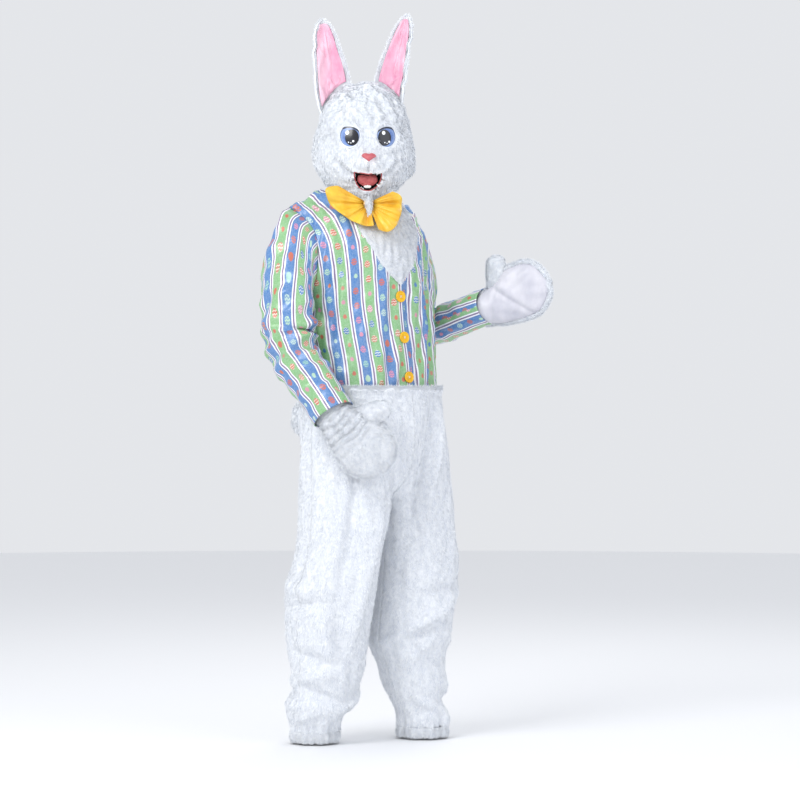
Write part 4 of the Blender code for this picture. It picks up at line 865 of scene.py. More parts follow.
# distance from the middle, height of the shoulder line there
SHOULDER_LINE = np.array([(0.0, 0.064), (0.045, 0.056), (0.09, 0.040), (0.15, 0.0095), (0.21, -0.022)])
# share of the way up, V edge x, armhole angle in front, armhole angle behind, back neck x
CHEST_ROWS = np.array([
    (0.500, 0.0020, 95.0, 95.0, 0.000),
    (0.540, 0.0240, 78.0, 104.0, 0.000),
    (0.600, 0.0500, 72.0, 108.5, 0.000),
    (0.680, 0.0690, 70.0, 110.0, 0.000),
    (0.760, 0.0880, 68.5, 110.0, 0.000),
    (0.840, 0.0945, 67.5, 108.0, 0.000),
    (0.900, 0.0965, 70.0, 105.0, 0.000),
    (0.940, 0.0970, 73.5, 102.0, 0.050),
    (0.975, 0.0975, 79.0, 97.0, 0.085),
    (1.000, 0.0980, 90.0, 90.0, 0.098),
])


def chest_rows(count: int, columns: int = 5) -> Array:
    """The first columns of the chest's rows, read evenly from the V's point to the shoulder line."""
    known = np.arange(len(CHEST_ROWS))
    at = np.linspace(0, known[-1], count)
    return np.stack([np.interp(at, known, column) for column in CHEST_ROWS.T[:columns]], axis=-1)


@dataclass
class Torso:
    """The form of the worn jacket, from the waist to the shoulder line."""

    waist_z: float = -0.486
    twist: float = math.radians(-7)
    twist_top_z: float = -0.25

    def point(self, share: Array, angle: Array) -> Array:
        """A point of the torso: half width times the sine of the angle, depth times its cosine, then twisted.

        Args:
            share: Share of the way from the waist to the shoulder line.
            angle: Angle from the front, towards the wearer's left.

        Returns:
            Points.
        """
        half_width, front, back, centre = read(TORSO, share)
        x = half_width * np.sin(angle)
        depth = np.where(np.cos(angle) >= 0, front, back)
        y = centre - depth * np.cos(angle)
        shoulder = read(SHOULDER_LINE, np.abs(x))[0]
        z = self.waist_z + share * (shoulder - self.waist_z)
        return turned(np.stack([x, y, z], axis=-1), self.turn_at(z))

    def turn_at(self, z: float | Array) -> Array:
        """How far the body is twisted at this height."""
        return self.twist * smooth_step((z - self.waist_z) / (self.twist_top_z - self.waist_z))

    def edge_angle(self, share: Array, x: Array) -> Array:
        """The angle at which the torso has this x: the arc sine of x over the half width."""
        return np.arcsin(np.clip(x / self.half_width(share), -1, 1))

    def half_width(self, share: Array) -> Array:
        """Half the torso's width at this share of the way up."""
        return read(TORSO[:, :2], share)[0]

    def rows(self, below: int, above: int) -> tuple[Array, Array]:
        """Shares of fine rows, and the chest rows read there (held at the first one below the V).

        Args:
            below: Rows from the waist to the V's point.
            above: Rows from there to the shoulder line.

        Returns:
            The shares, and V edge x, front angle, back angle and back neck x for each.
        """
        chest = chest_rows(above)
        low = np.linspace(0, CHEST_ROWS[0, 0], below + 1)[:-1]
        edges = np.concatenate([np.tile([0.0, 95.0, 95.0, 0.0], (below, 1)), chest[:, 1:]])
        return np.concatenate([low, chest[:, 0]]), edges


# inner x, inner y, inner z, outer x, outer y, outer z, half width
SLEEVE_RIGHT = np.array([
    (-0.183, 0.039, -0.248, -0.189, 0.074, -0.018, 0.068),
    (-0.195, 0.034, -0.262, -0.226, 0.064, -0.036, 0.071),
    (-0.199, 0.028, -0.272, -0.250, 0.054, -0.080, 0.072),
    (-0.199, 0.020, -0.282, -0.274, 0.040, -0.142, 0.073),
    (-0.195, 0.012, -0.296, -0.299, 0.022, -0.220, 0.074),
    (-0.194, 0.010, -0.318, -0.315, 0.010, -0.292, 0.073),
    (-0.194, 0.008, -0.352, -0.313, 0.004, -0.345, 0.068),
    (-0.195, -0.014, -0.393, -0.311, -0.018, -0.393, 0.063),
    (-0.195, -0.050, -0.434, -0.307, -0.052, -0.434, 0.060),
    (-0.191, -0.088, -0.475, -0.300, -0.089, -0.475, 0.057),
    (-0.184, -0.117, -0.513, -0.291, -0.117, -0.513, 0.056),
    (-0.179, -0.132, -0.535, -0.284, -0.139, -0.545, 0.056),
])
SLEEVE_LEFT = np.array([
    (0.187, -0.007, -0.248, 0.202, 0.026, -0.018, 0.068),
    (0.194, 0.010, -0.262, 0.228, 0.042, -0.036, 0.068),
    (0.197, 0.026, -0.268, 0.250, 0.062, -0.084, 0.068),
    (0.198, 0.038, -0.275, 0.268, 0.080, -0.145, 0.065),
    (0.198, 0.052, -0.281, 0.285, 0.091, -0.210, 0.061),
    (0.198, 0.066, -0.290, 0.297, 0.089, -0.258, 0.056),
    (0.199, 0.056, -0.304, 0.303, 0.062, -0.299, 0.052),
    (0.199, 0.020, -0.312, 0.304, 0.022, -0.312, 0.049),
    (0.199, -0.030, -0.305, 0.302, -0.030, -0.305, 0.048),
    (0.200, -0.085, -0.292, 0.301, -0.085, -0.292, 0.047),
    (0.201, -0.145, -0.276, 0.301, -0.145, -0.276, 0.047),
    (0.203, -0.203, -0.262, 0.301, -0.203, -0.262, 0.048),
])
# place round (0 armpit, 0.25 front, 0.5 outer side), share along, half length, half width, tilt, height
RIGHT_SLEEVE_FOLDS = (
    (0.22, 0.470, 0.055, 0.013, 20, 0.013), (0.24, 0.535, 0.055, 0.011, -14, -0.011),
    (0.20, 0.590, 0.060, 0.012, 14, 0.011), (0.45, 0.520, 0.050, 0.011, -20, 0.008),
    (0.48, 0.580, 0.050, 0.011, 18, -0.007), (0.22, 0.680, 0.050, 0.012, -16, -0.008),
    (0.16, 0.750, 0.050, 0.012, 12, 0.008), (0.40, 0.800, 0.060, 0.013, -24, -0.006),
    (0.30, 0.220, 0.080, 0.018, 70, -0.007), (0.75, 0.520, 0.060, 0.014, 8, -0.007),
    (0.75, 0.640, 0.060, 0.014, -10, 0.007), (0.34, 0.300, 0.070, 0.010, 62, 0.004),
    (0.28, 0.400, 0.050, 0.008, 35, 0.005), (0.32, 0.860, 0.045, 0.007, 22, 0.004),
    (0.20, 0.900, 0.045, 0.007, -14, -0.004), (0.42, 0.660, 0.045, 0.007, 30, 0.004),
    (0.12, 0.500, 0.045, 0.008, -30, 0.005), (0.55, 0.420, 0.060, 0.010, 60, -0.004),
)
LEFT_SLEEVE_FOLDS = (
    (0.20, 0.600, 0.060, 0.012, 24, 0.008), (0.30, 0.660, 0.060, 0.012, -16, -0.007),
    (0.45, 0.700, 0.060, 0.012, 18, 0.006), (0.15, 0.740, 0.060, 0.012, -20, -0.006),
    (0.75, 0.420, 0.060, 0.016, 0, 0.007), (0.50, 0.300, 0.080, 0.018, 75, -0.006),
    (0.10, 0.620, 0.040, 0.007, 40, 0.005), (0.05, 0.680, 0.040, 0.007, 20, -0.005),
    (0.95, 0.640, 0.040, 0.007, -30, 0.005), (0.25, 0.820, 0.045, 0.007, 28, 0.004),
    (0.35, 0.900, 0.040, 0.006, -18, -0.003),
)
# place round the half torso, share of the way up, half length, half width, tilt in degrees, height
FRONT_FOLDS = (
    (0.86, 0.46, 0.070, 0.014, 35, -0.006), (0.62, 0.12, 0.080, 0.016, 80, 0.004),
    (0.30, 0.10, 0.070, 0.016, 95, -0.004), (0.90, 0.20, 0.070, 0.014, 12, -0.005),
    (0.80, 0.34, 0.090, 0.012, 64, 0.005), (0.70, 0.56, 0.070, 0.010, 60, 0.004),
    (0.18, 0.30, 0.060, 0.010, 84, 0.003), (0.45, 0.05, 0.050, 0.010, 100, 0.004),
    (0.74, 0.05, 0.050, 0.010, 86, -0.004), (0.92, 0.68, 0.070, 0.009, 74, 0.004),
)
BACK_FOLDS = FRONT_FOLDS[:4] + (
    (0.50, 0.62, 0.090, 0.014, 20, 0.004), (0.35, 0.34, 0.080, 0.012, 70, 0.004),
)


@dataclass
class JacketTop:
    """The printed satin jacket: two fronts, two backs, two sleeves and the strip down the back."""

    torso: Torso
    wall: float = 0.002
    strip_wall: float = 0.0016
    panel_girth: float = 0.30
    panel_length: float = 0.48
    print_length: float = 0.52
    sleeve_girth: float = 0.42
    sleeve_length: float = 0.62
    below: int = 44
    above: int = 46
    columns: int = 54
    rings: int = 124

    def panel(self, side: int, back: bool) -> Surface:
        """A front or back panel on one side, from its inner edge to its side seam.

        Args:
            side: -1 for the wearer's right, 1 for the left.
            back: Whether it is a back panel.

        Returns:
            The surface, with folds and flat coordinates from the middle of the body.
        """
        shares, edges = self.torso.rows(self.below, self.above)
        inner = self.torso.edge_angle(shares, edges[:, 3 if back else 0])
        inner = math.pi - inner if back else inner
        outer = np.radians(edges[:, 2 if back else 1])
        across = np.linspace(0, 1, self.columns + 1)
        angle = inner[:, None] + (outer - inner)[:, None] * across
        share = np.broadcast_to(shares[:, None], angle.shape)
        points = self.torso.point(share, side * angle)
        table = BACK_FOLDS if back else FRONT_FOLDS
        folds = folds_at(table, across[None, :], share, self.panel_girth, self.panel_length)
        drape = 0.0056 * waves(points * (1.4, 1.4, 0.26), 0.070, 11)
        drape = drape + 0.0022 * waves(points * (1.4, 1.4, 0.5), 0.03, 13)
        fine = 0.0022 * creases(points * (1.3, 1.3, 0.55), 0.060, 12) + 0.0005 * waves(points, 0.017, 12)
        window = np.sin(np.pi * across) ** 0.5 * smooth_step((1 - share) / 0.1)
        away = smooth_step(np.minimum(across, 1 - across) / 0.10) * smooth_step(share / 0.06)
        relief = window * folds + (drape + fine) * away
        surface = Surface(points, flat=self.flat(share, angle, side, back), relief=relief)
        return surface.facing(np.array(UP) * points.mean(axis=(0, 1))).settled()

    def flat(self, share: Array, angle: Array, side: int, back: bool) -> Array:
        """Flat coordinates: metres of arc from the middle of the body on each row, and metres up."""
        start = math.pi if back else 0.0
        fine = np.linspace(0, 1, 48)
        reach = start + (angle[:, -1:] - start) * fine
        rows = self.torso.point(np.broadcast_to(share[:, :1], reach.shape), reach)
        steps = np.linalg.norm(np.diff(rows[..., :2], axis=1), axis=-1)
        arc = np.concatenate([np.zeros((len(steps), 1)), np.cumsum(steps, axis=1)], axis=1)
        place = (angle - start) / (angle[:, -1:] - start)
        across = np.stack([np.interp(p, fine, a) for p, a in zip(place, arc)])
        up = np.broadcast_to(share * self.print_length, angle.shape)
        return np.stack([side * across * (-1 if back else 1), up], axis=-1)

    def sleeve(self, stations: Array, folds: tuple, side: int, seed: int) -> Surface:
        """A sleeve: rings between an inner and an outer rail, each centre plus cosine and sine of the turn.

        Args:
            stations: Rails and half widths along the arm.
            folds: Table of folds.
            side: -1 for the wearer's right, 1 for the left.
            seed: Seed of the small creases.

        Returns:
            The surface, from the armhole to the cuff.
        """
        length = np.linspace(0, 1, self.rings)
        rails = smooth_curve(np.arange(len(stations)), stations, length * (len(stations) - 1))
        inner, outer, half_width = rails[:, :3], rails[:, 3:6], rails[:, 6]
        centre = (inner + outer) / 2
        ahead = unit(np.gradient(centre, axis=0))
        across = (inner - outer) / 2
        front = -side * unit(np.cross(ahead, across))
        loop = self.armhole(side)
        angle = full_turn(len(loop))[None, :, None]
        rings = (centre[:, None] + np.cos(angle) * across[:, None]
                 + np.sin(angle) * (half_width[:, None] * front)[:, None])
        fade = 1 - smooth_step(length / 0.30)
        points = rings + fade[:, None, None] * (loop - rings[0])
        around = np.arange(len(loop))[None, :] / len(loop)
        along = length[:, None]
        relief = folds_at(folds, around, along, self.sleeve_girth, self.sleeve_length)
        elbow = hill(along, 0.56, 0.20)
        relief = relief + (0.0022 + 0.0028 * elbow) * waves(points * (1, 1, 1.3), 0.070, seed)
        relief = relief + (0.0010 + 0.0040 * elbow) * creases(points, 0.085, seed + 1)
        relief = relief * smooth_step(along / 0.10) * smooth_step((1 - along) / 0.05)
        relief = relief - 0.0008 * hill(along, 0.965, 0.004)
        surface = Surface(points, closed=True, relief=relief).facing(points.mean(axis=1, keepdims=True))
        surface.flat = surface.arc_flat(0.5)
        return surface.settled()

    def armhole(self, side: int) -> Array:
        """The armhole's points, from the armpit up the front edge and down the back edge."""
        share, _, front, back = chest_rows(49, 4).T
        up = self.torso.point(share, side * np.radians(front))
        down = self.torso.point(share, side * np.radians(back))
        return np.concatenate([up, down[-2:0:-1]])

    def strip(self) -> Surface:
        """The strip over the closure at the centre back, laid on the back panels."""
        shares = np.linspace(0.09, 0.925, 60)[:, None]
        reach = np.linspace(-0.075, 0.075, 9)[None, :]
        points = self.torso.point(np.broadcast_to(shares, (60, 9)), math.pi + np.broadcast_to(reach, (60, 9)))
        flat = np.stack(np.broadcast_arrays(reach * 0.16 + 0.017, shares * self.print_length), axis=-1)
        relief = 0.0030 + 0.0004 * waves(points, 0.03, 21)
        return Surface(points, flat=flat, relief=relief).facing(np.array([0, 0, -0.2])).settled()

    def build(self, maker: Maker) -> None:
        """Makes every piece of the jacket."""
        for side, word in SIDES:
            for part in ("front", "back"):
                maker.sheet(f"{part}_{word}", self.panel(side, part == "back"), Cloth.PRINT, self.wall,
                            (f"jacket_{part}_{word}",), "stretched")
        arms = ((SLEEVE_RIGHT, RIGHT_SLEEVE_FOLDS, 31), (SLEEVE_LEFT, LEFT_SLEEVE_FOLDS, 41))
        for (side, word), (stations, folds, seed) in zip(SIDES, arms):
            maker.sheet(f"sleeve_of_{word}_arm", self.sleeve(stations, folds, side, seed), Cloth.PRINT,
                        self.wall, (f"sleeve_{word}",), "hung")
        maker.sheet("strip_over_closure", self.strip(), Cloth.PRINT, self.strip_wall, ("back_placket",),
                    "laid")


@dataclass
class ChestFront:
    """The plush in the V and the collar piece between the neckline and the mask."""

    torso: Torso
    wall: float = 0.002
    top_share: float = 0.70
    sag: float = 0.006
    columns: int = 60

    def insert(self) -> Surface:
        """The plush between the V edges, whose top dips in the middle by the square of the place across."""
        rows = chest_rows(70, 2)
        across = np.linspace(-1, 1, self.columns + 1)
        edge = self.torso.edge_angle(rows[:, 0], rows[:, 1])
        drop = 1 - (1 - self.top_share) * (1 - across ** 2)
        share = rows[0, 0] + (rows[:, 0, None] - rows[0, 0]) * drop
        x = self.torso.half_width(rows[:, 0])[:, None] * np.sin(edge[:, None] * across)
        points = self.torso.point(share, self.torso.edge_angle(share, x))
        window = smooth_step((1 - np.abs(across)) / 0.12)
        relief = window * (0.0020 + 0.0016 * waves(points * (1.5, 1.5, 0.6), 0.035, 51))
        return Surface(points, relief=relief).facing(np.array([0, 0, 0.0])).settled()

    def collar(self, head: "MaskHead") -> Surface:
        """The piece from the neckline in to the mask's opening, sagging by the sine of its share."""
        at = np.linspace(0, 1, 61)
        front = self.insert_edge(at)
        rows = np.linspace(0.900, 1.0, 26)
        neck_x = np.interp(rows, CHEST_ROWS[:, 0], CHEST_ROWS[:, 4])
        nape = math.pi - self.torso.edge_angle(rows, neck_x)
        right = self.torso.point(rows, -nape)
        left = self.torso.point(rows, nape)
        loop = np.concatenate([front, right[-2::-1], left[1:-1]])
        bearing = np.arctan2(loop[:, 1] - HEAD_Y, loop[:, 0])
        top = head.section(0.002, bearing - HEAD_TURN)
        top = turned(np.column_stack([top, np.full(len(top), 0.0006)]), HEAD_TURN)
        share = np.linspace(0, 1, 16)[:, None, None]
        points = loop + (top - loop) * share - self.sag * np.sin(math.pi * share) * np.array(UP)
        return Surface(points, closed=True).facing(np.array([0, 0, -0.3]))

    def insert_edge(self, at: Array) -> Array:
        """The front of the neckline, from the wearer's left to the right."""
        across = 1 - 2 * at
        drop = 1 - (1 - self.top_share) * (1 - across ** 2)
        share = 0.5 + 0.5 * drop
        edge = self.torso.edge_angle(np.array([1.0]), np.array([0.098]))
        x = self.torso.half_width(np.array([1.0])) * np.sin(edge * across)
        return self.torso.point(share, self.torso.edge_angle(share, x))

    def build(self, maker: Maker, head: "MaskHead") -> None:
        """Makes the insert and the collar piece with their pile."""
        insert = self.insert()
        maker.sheet("plush_in_v", insert, Cloth.PLUSH, self.wall, ("chest_insert",), "stretched")
        maker.pile("pile_in_v", insert, NAPS["v"], (0.0, -0.1, -1.0), 52)
        collar = self.collar(head)
        maker.sheet("collar_piece", collar, Cloth.PLUSH, self.wall, ("neck_band",), "gathered")
        maker.pile("pile_of_collar", collar, NAPS["collar"], DOWN, 53)


# height, half width, depth, centre y of the hips
HIPS = np.array([
    (-0.760, 0.220, 0.152, -0.045), (-0.684, 0.220, 0.155, -0.042), (-0.600, 0.209, 0.158, -0.033),
    (-0.540, 0.202, 0.158, -0.027), (-0.474, 0.201, 0.150, -0.027),
])
# height, right leg x, y, radius, left leg x, y, radius
LEGS = np.array([
    (-1.362, -0.125, 0.052, 0.061, 0.154, -0.051, 0.061),
    (-1.329, -0.125, 0.049, 0.062, 0.157, -0.057, 0.068),
    (-1.306, -0.125, 0.046, 0.072, 0.152, -0.054, 0.066),
    (-1.277, -0.119, 0.038, 0.088, 0.143, -0.048, 0.070),
    (-1.247, -0.115, 0.031, 0.085, 0.140, -0.047, 0.081),
    (-1.188, -0.111, 0.023, 0.0925, 0.127, -0.041, 0.086),
    (-1.111, -0.112, 0.016, 0.104, 0.119, -0.039, 0.107),
    (-1.042, -0.110, 0.008, 0.114, 0.122, -0.047, 0.110),
    (-0.983, -0.107, 0.000, 0.121, 0.125, -0.054, 0.111),
    (-0.899, -0.097, -0.019, 0.117, 0.124, -0.058, 0.110),
    (-0.812, -0.090, -0.033, 0.122, 0.110, -0.053, 0.115),
    (-0.684, -0.090, -0.042, 0.130, 0.090, -0.042, 0.130),
])
# place round (0 centre front, 0.5 side, 1 centre back), height, half length, half width, tilt, fold's height
RIGHT_LEG_FOLDS = (
    (0.40, -0.96, 0.22, 0.030, 84, 0.0162), (0.27, -1.02, 0.24, 0.026, 96, 0.0149),
    (0.34, -0.72, 0.20, 0.022, 93, -0.0135), (0.33, -1.10, 0.12, 0.022, 60, -0.0149),
    (0.52, -0.975, 0.06, 0.016, 5, 0.0135), (0.50, -1.020, 0.07, 0.013, -8, -0.0121),
    (0.45, -1.150, 0.08, 0.016, 12, -0.0121), (0.48, -1.205, 0.09, 0.014, -10, 0.0108),
    (0.35, -1.250, 0.10, 0.014, 16, -0.0135), (0.60, -1.240, 0.08, 0.014, 10, -0.0121),
    (0.20, -1.270, 0.09, 0.013, -22, 0.0121), (0.76, -1.180, 0.10, 0.016, 8, -0.0108),
    (0.80, -0.900, 0.16, 0.028, 80, -0.0135), (0.66, -0.640, 0.12, 0.024, 100, -0.0108),
    (0.47, -0.80, 0.20, 0.014, 88, 0.0068), (0.21, -0.80, 0.18, 0.013, 94, -0.0068),
    (0.30, -1.200, 0.06, 0.009, 25, 0.0068), (0.42, -1.300, 0.05, 0.008, -12, 0.0068),
    (0.15, -1.160, 0.08, 0.010, 60, 0.0068), (0.33, -0.56, 0.06, 0.010, 96, 0.0054),
)
LEFT_LEG_FOLDS = (
    (0.20, -0.62, 0.14, 0.020, 92, 0.0149), (0.12, -0.60, 0.13, 0.016, 90, -0.0121),
    (0.25, -0.985, 0.09, 0.016, 8, -0.0121), (0.22, -1.055, 0.12, 0.020, 28, 0.0162),
    (0.17, -1.095, 0.12, 0.016, 24, -0.0149), (0.24, -1.190, 0.12, 0.016, -38, -0.0135),
    (0.30, -1.225, 0.10, 0.014, -34, 0.0135), (0.36, -1.270, 0.08, 0.013, -20, -0.0135),
    (0.22, -1.290, 0.09, 0.012, -14, 0.0108), (0.62, -1.240, 0.10, 0.015, 12, -0.0121),
    (0.80, -1.060, 0.12, 0.020, 10, -0.0108), (0.70, -0.800, 0.18, 0.026, 86, -0.0121),
    (0.30, -0.86, 0.16, 0.014, 86, 0.0068), (0.14, -0.82, 0.16, 0.012, 96, -0.0068),
    (0.18, -1.140, 0.07, 0.009, 40, 0.0068), (0.33, -1.110, 0.06, 0.009, -30, 0.0068),
)


@dataclass
class Trousers:
    """The plush trousers: fronts, backs and gathered ankle casings."""

    wall: float = 0.006
    top_z: float = -0.474
    crotch_start_z: float = -0.56
    crotch_z: float = -0.76
    leg_end_z: float = -1.346
    hem_z: float = -1.369
    girth: float = 0.75
    gather: float = 0.0032
    gathers: int = 8
    small_gathers: int = 19
    columns: int = 50
    rows: int = 165

    def points(self, z: Array, around: Array, side: int) -> Array:
        """The form of one half: a hip oval that passes into the leg's circle, first at the middle seam.

        Args:
            z: Heights.
            around: 0 at centre front, 0.5 at the side, 1 at centre back.
            side: -1 for the wearer's right, 1 for the left.

        Returns:
            Points.
        """
        half_width, depth, centre = read(HIPS, z)
        angle = np.pi * around
        hip = np.stack([side * half_width * np.sin(angle), centre - depth * np.cos(angle)], axis=-1)
        leg_x, leg_y, radius = read(LEGS[:, (0, 1, 2, 3) if side == RIGHT else (0, 4, 5, 6)], z)
        turn = 2 * np.pi * around
        inner = np.minimum(radius, np.abs(leg_x) - 0.14 * np.clip(self.crotch_z - z, 0, 0.10))
        reach = np.where(np.cos(turn) > 0, inner, radius)
        leg = np.stack([leg_x - side * reach * np.cos(turn), leg_y - radius * np.sin(turn)], axis=-1)
        fall = np.clip((self.crotch_start_z - z) / (self.crotch_start_z - self.crotch_z), 0, 1)
        edge_share = 1 - np.sqrt(1 - fall ** 2)
        side_share = smooth_step((-0.50 - z) / 0.30)
        near_edge = np.abs(2 * around - 1) ** 4
        share = (near_edge * edge_share + (1 - near_edge) * side_share)[..., None]
        flat = hip * (1 - share) + leg * share
        away = 0.004 * smooth_step(np.minimum(around, 1 - around) * 16)
        flat[..., 0] = side * np.maximum(side * flat[..., 0], away)
        return np.concatenate([flat, z[..., None]], axis=-1)

    def relief(self, points: Array, place: Array, z: Array, folds: tuple,
               seed: int) -> Array:
        """Height over the plain form: the folds, small lumps of the plush and the gathers at the ankle."""
        window = smooth_step(np.minimum(place, 1 - place) / 0.06)
        height = window * folds_at(folds, place, z, self.girth, 1.0)
        height = height * smooth_step((z - self.leg_end_z) / 0.03) * smooth_step((self.top_z - z) / 0.05)
        pull = smooth_step((-1.28 - z) / (-1.28 - self.leg_end_z))
        height = height - self.gather * pull * np.cos(2 * np.pi * self.gathers * place)
        height = height - 0.0022 * pull * np.cos(2 * np.pi * self.small_gathers * place + 1.0)
        lumps = 0.0022 * waves(points * (1.3, 1.3, 0.5), 0.06, seed) + 0.0010 * waves(points, 0.016, seed + 1)
        top = 0.004 * hill(z, self.top_z - 0.006, 0.006)
        return height + lumps * window + top

    def panel(self, side: int, start: float, end: float, folds: tuple, seed: int) -> Surface:
        """A front or back panel of one leg, from place start to end round it."""
        level = np.linspace(0, 1, self.rows)
        z = self.top_z + (self.leg_end_z - self.top_z) * level
        z, place = np.broadcast_arrays(z[:, None], np.linspace(start, end, self.columns + 1))
        points = self.points(z, place, side)
        middle = np.stack([np.full(z.shape, side * 0.11), np.full(z.shape, -0.02), z], axis=-1)
        surface = Surface(points, relief=self.relief(points, place, z, folds, seed)).facing(middle).settled()
        surface.points[..., 0] = side * np.maximum(side * surface.points[..., 0], 0.0)
        return surface

    def waist_edge(self, side: int) -> Surface:
        """The last of the plush at the waist seam, where long pile stands over the satin."""
        around = np.linspace(0, 1, 90)
        z = self.top_z + np.array([-0.012, -0.006, 0.0])[:, None] + np.zeros(90)
        points = self.points(np.minimum(z, self.top_z), np.broadcast_to(around, z.shape), side)
        middle = np.array([0, -0.03, 0]) + np.array(UP) * z[..., None]
        return Surface(points).facing(middle)

    def casing(self, side: int) -> Surface:
        """The gathered elastic casing below one leg."""
        around = np.arange(160) / 160
        z = np.linspace(self.leg_end_z, self.hem_z, 10)[:, None] + np.zeros(160)
        points = self.points(np.full(z.shape, self.leg_end_z), np.broadcast_to(around, z.shape), side)
        points[..., 2] = z
        ruffle = -self.gather * np.cos(2 * np.pi * self.gathers * around)
        ruffle = ruffle - 0.0018 * np.cos(2 * np.pi * self.small_gathers * around + 1)
        bulge = 0.003 * np.sin(np.linspace(0, math.pi, 10))[:, None]
        surface = Surface(points, closed=True, relief=ruffle[None, :] + bulge)
        return surface.facing(points.mean(axis=1, keepdims=True)).settled()

    def build(self, maker: Maker) -> None:
        """Makes the panels and casings with their pile."""
        for (side, word), folds, seed in zip(SIDES, (RIGHT_LEG_FOLDS, LEFT_LEG_FOLDS), (61, 71)):
            for part, start, end in (("front", 0.0, 0.5), ("back", 0.5, 1.0)):
                surface = self.panel(side, start, end, folds, seed)
                maker.sheet(f"leg_{part}_{word}", surface, Cloth.PLUSH, self.wall,
                            (f"trouser_{part}_{word}",), "hung")
                maker.pile(f"pile_of_leg_{part}_{word}", surface, NAPS["leg"], DOWN, seed + 2)
            edge = self.waist_edge(side)
            maker.pile(f"pile_of_waist_{word}", edge, NAPS["waist"], UP, seed + 7)
            casing = self.casing(side)
            maker.sheet(f"ankle_{word}", casing, Cloth.PLUSH, self.wall, (f"ankle_casing_{word}",),
                        "gathered")
            maker.pile(f"pile_of_ankle_{word}", casing, NAPS["ankle"], DOWN, seed + 5)


def ball(centre: Array, halves: Triple, rows: int, columns: int) -> Surface:
    """An oval ball: its centre plus its halves times cosine and sine of the bearing and the height angle.

    Args:
        centre: Middle of the ball.
        halves: Half sizes along x, y and z.
        rows: Rings from the bottom to the top.
        columns: Points on a ring.

    Returns:
        The surface.
    """
    height = np.linspace(-math.pi / 2 + 0.02, math.pi / 2 - 0.02, rows)[:, None]
    bearing = full_turn(columns)[None, :]
    ways = np.stack(np.broadcast_arrays(np.cos(height) * np.cos(bearing), np.cos(height) * np.sin(bearing),
                                        np.sin(height)), axis=-1)
    return Surface(np.asarray(centre) + ways * np.array(halves), closed=True)


def tube(path: Array, radius: Array, columns: int = 12, up: Triple = (0, 0, 1),
         flatness: float = 1.0) -> Surface:
    """A round piece along a path: each ring is its point plus the radius times cosine and sine of the turn.

    Args:
        path: Points of the middle line.
        radius: Radius at each point.
        columns: Points on a ring.
        up: Way that is square to no part of the path.
        flatness: Share of the radius that is kept along the second axis.

    Returns:
        The surface.
    """
    ahead = unit(np.gradient(path, axis=0))
    side = unit(np.cross(ahead, np.array(up, float)))
    over = np.cross(side, ahead)
    turn = full_turn(columns)[None, :, None]
    rings = path[:, None] + radius[:, None, None] * (
        np.cos(turn) * side[:, None] + flatness * np.sin(turn) * over[:, None])
    return Surface(rings, closed=True).facing(path[:, None])


@dataclass
class Buttons:
    """Three yellow buttons with a raised rim, four holes and a stitch of thread."""

    torso: Torso
    heights: Triple = (-0.2436, -0.3465, -0.4467)
    radius: float = 0.0145
    thickness: float = 0.004
    hole: float = 0.0013
    spread: float = 0.0028

    def frame(self, z: float) -> tuple[Array, Array, Array, Array]:
        """Centre-front point at a height, and the ways across, up and out there."""
        shares = np.linspace(0, 0.5, 200)
        line = self.torso.point(shares, np.zeros(200))
        heights = np.array([z - 0.01, z, z + 0.01])
        read = np.stack([np.interp(heights, line[:, 2], line[:, i]) for i in range(3)], axis=-1)
        up = unit(read[2] - read[0])
        twist = float(self.torso.turn_at(z))
        out = np.array([math.sin(twist), -math.cos(twist), 0.0])
        out = unit(out - out @ up * up)
        return read[1], np.cross(up, out), up, out

    def disc(self, z: float) -> Surface:
        """A button: rings from the back's middle round the edge to the front's middle, sunk at the holes."""
        centre, across, up, out = self.frame(z)
        back = np.stack([np.linspace(0.02, 0.97, 6), np.full(6, 0.0)], axis=-1)
        edge = np.array([(1.0, 0.14), (1.0, 0.62), (0.975, 0.86), (0.93, 0.98), (0.88, 1.0), (0.83, 0.97),
                         (0.79, 0.84), (0.75, 0.74)])
        inner = np.stack([np.linspace(0.73, 0.01, 22), np.full(22, 0.70)], axis=-1)
        profile = np.concatenate([back, edge, inner])
        turn = full_turn(72)[None, :]
        x = self.radius * profile[:, :1] * np.cos(turn)
        y = self.radius * profile[:, :1] * np.sin(turn)
        height = np.broadcast_to(self.thickness * profile[:, 1:], x.shape).copy()
        for sx in (-1, 1):
            for sy in (-1, 1):
                away = np.hypot(x - sx * self.spread, y - sy * self.spread) / self.hole
                height[14:] -= 0.0023 * np.exp(-away[14:] ** 6)
        points = centre + x[..., None] * across + y[..., None] * up + (height + 0.0012)[..., None] * out
        return Surface(points, closed=True).facing(centre + 0.5 * self.thickness * out)

    def thread(self, z: float) -> list[Surface]:
        """Two stitches that cross from hole to hole over the button's middle."""
        centre, across, up, out = self.frame(z)
        made = []
        for slant in (-1, 1):
            t = np.linspace(-1, 1, 16)
            bow = 0.0012 + 0.7 * self.thickness + 0.0011 * (1 - t ** 4) - 0.0008
            path = centre + (t * self.spread)[:, None] * (across + slant * up) + bow[:, None] * out
            made.append(tube(path, np.full(16, 0.00065), 8, tuple(out)))
        return made

    def build(self, maker: Maker) -> None:
        """Makes the three buttons and their stitches."""
        for number, z in enumerate(self.heights, 1):
            maker.solid(f"front_button_{number}", self.disc(z), Cloth.BUTTON, (f"button_{number}",))
            for strand, surface in enumerate(self.thread(z), 1):
                maker.solid(f"button_{number}_stitch_{strand}", surface, Cloth.THREAD)


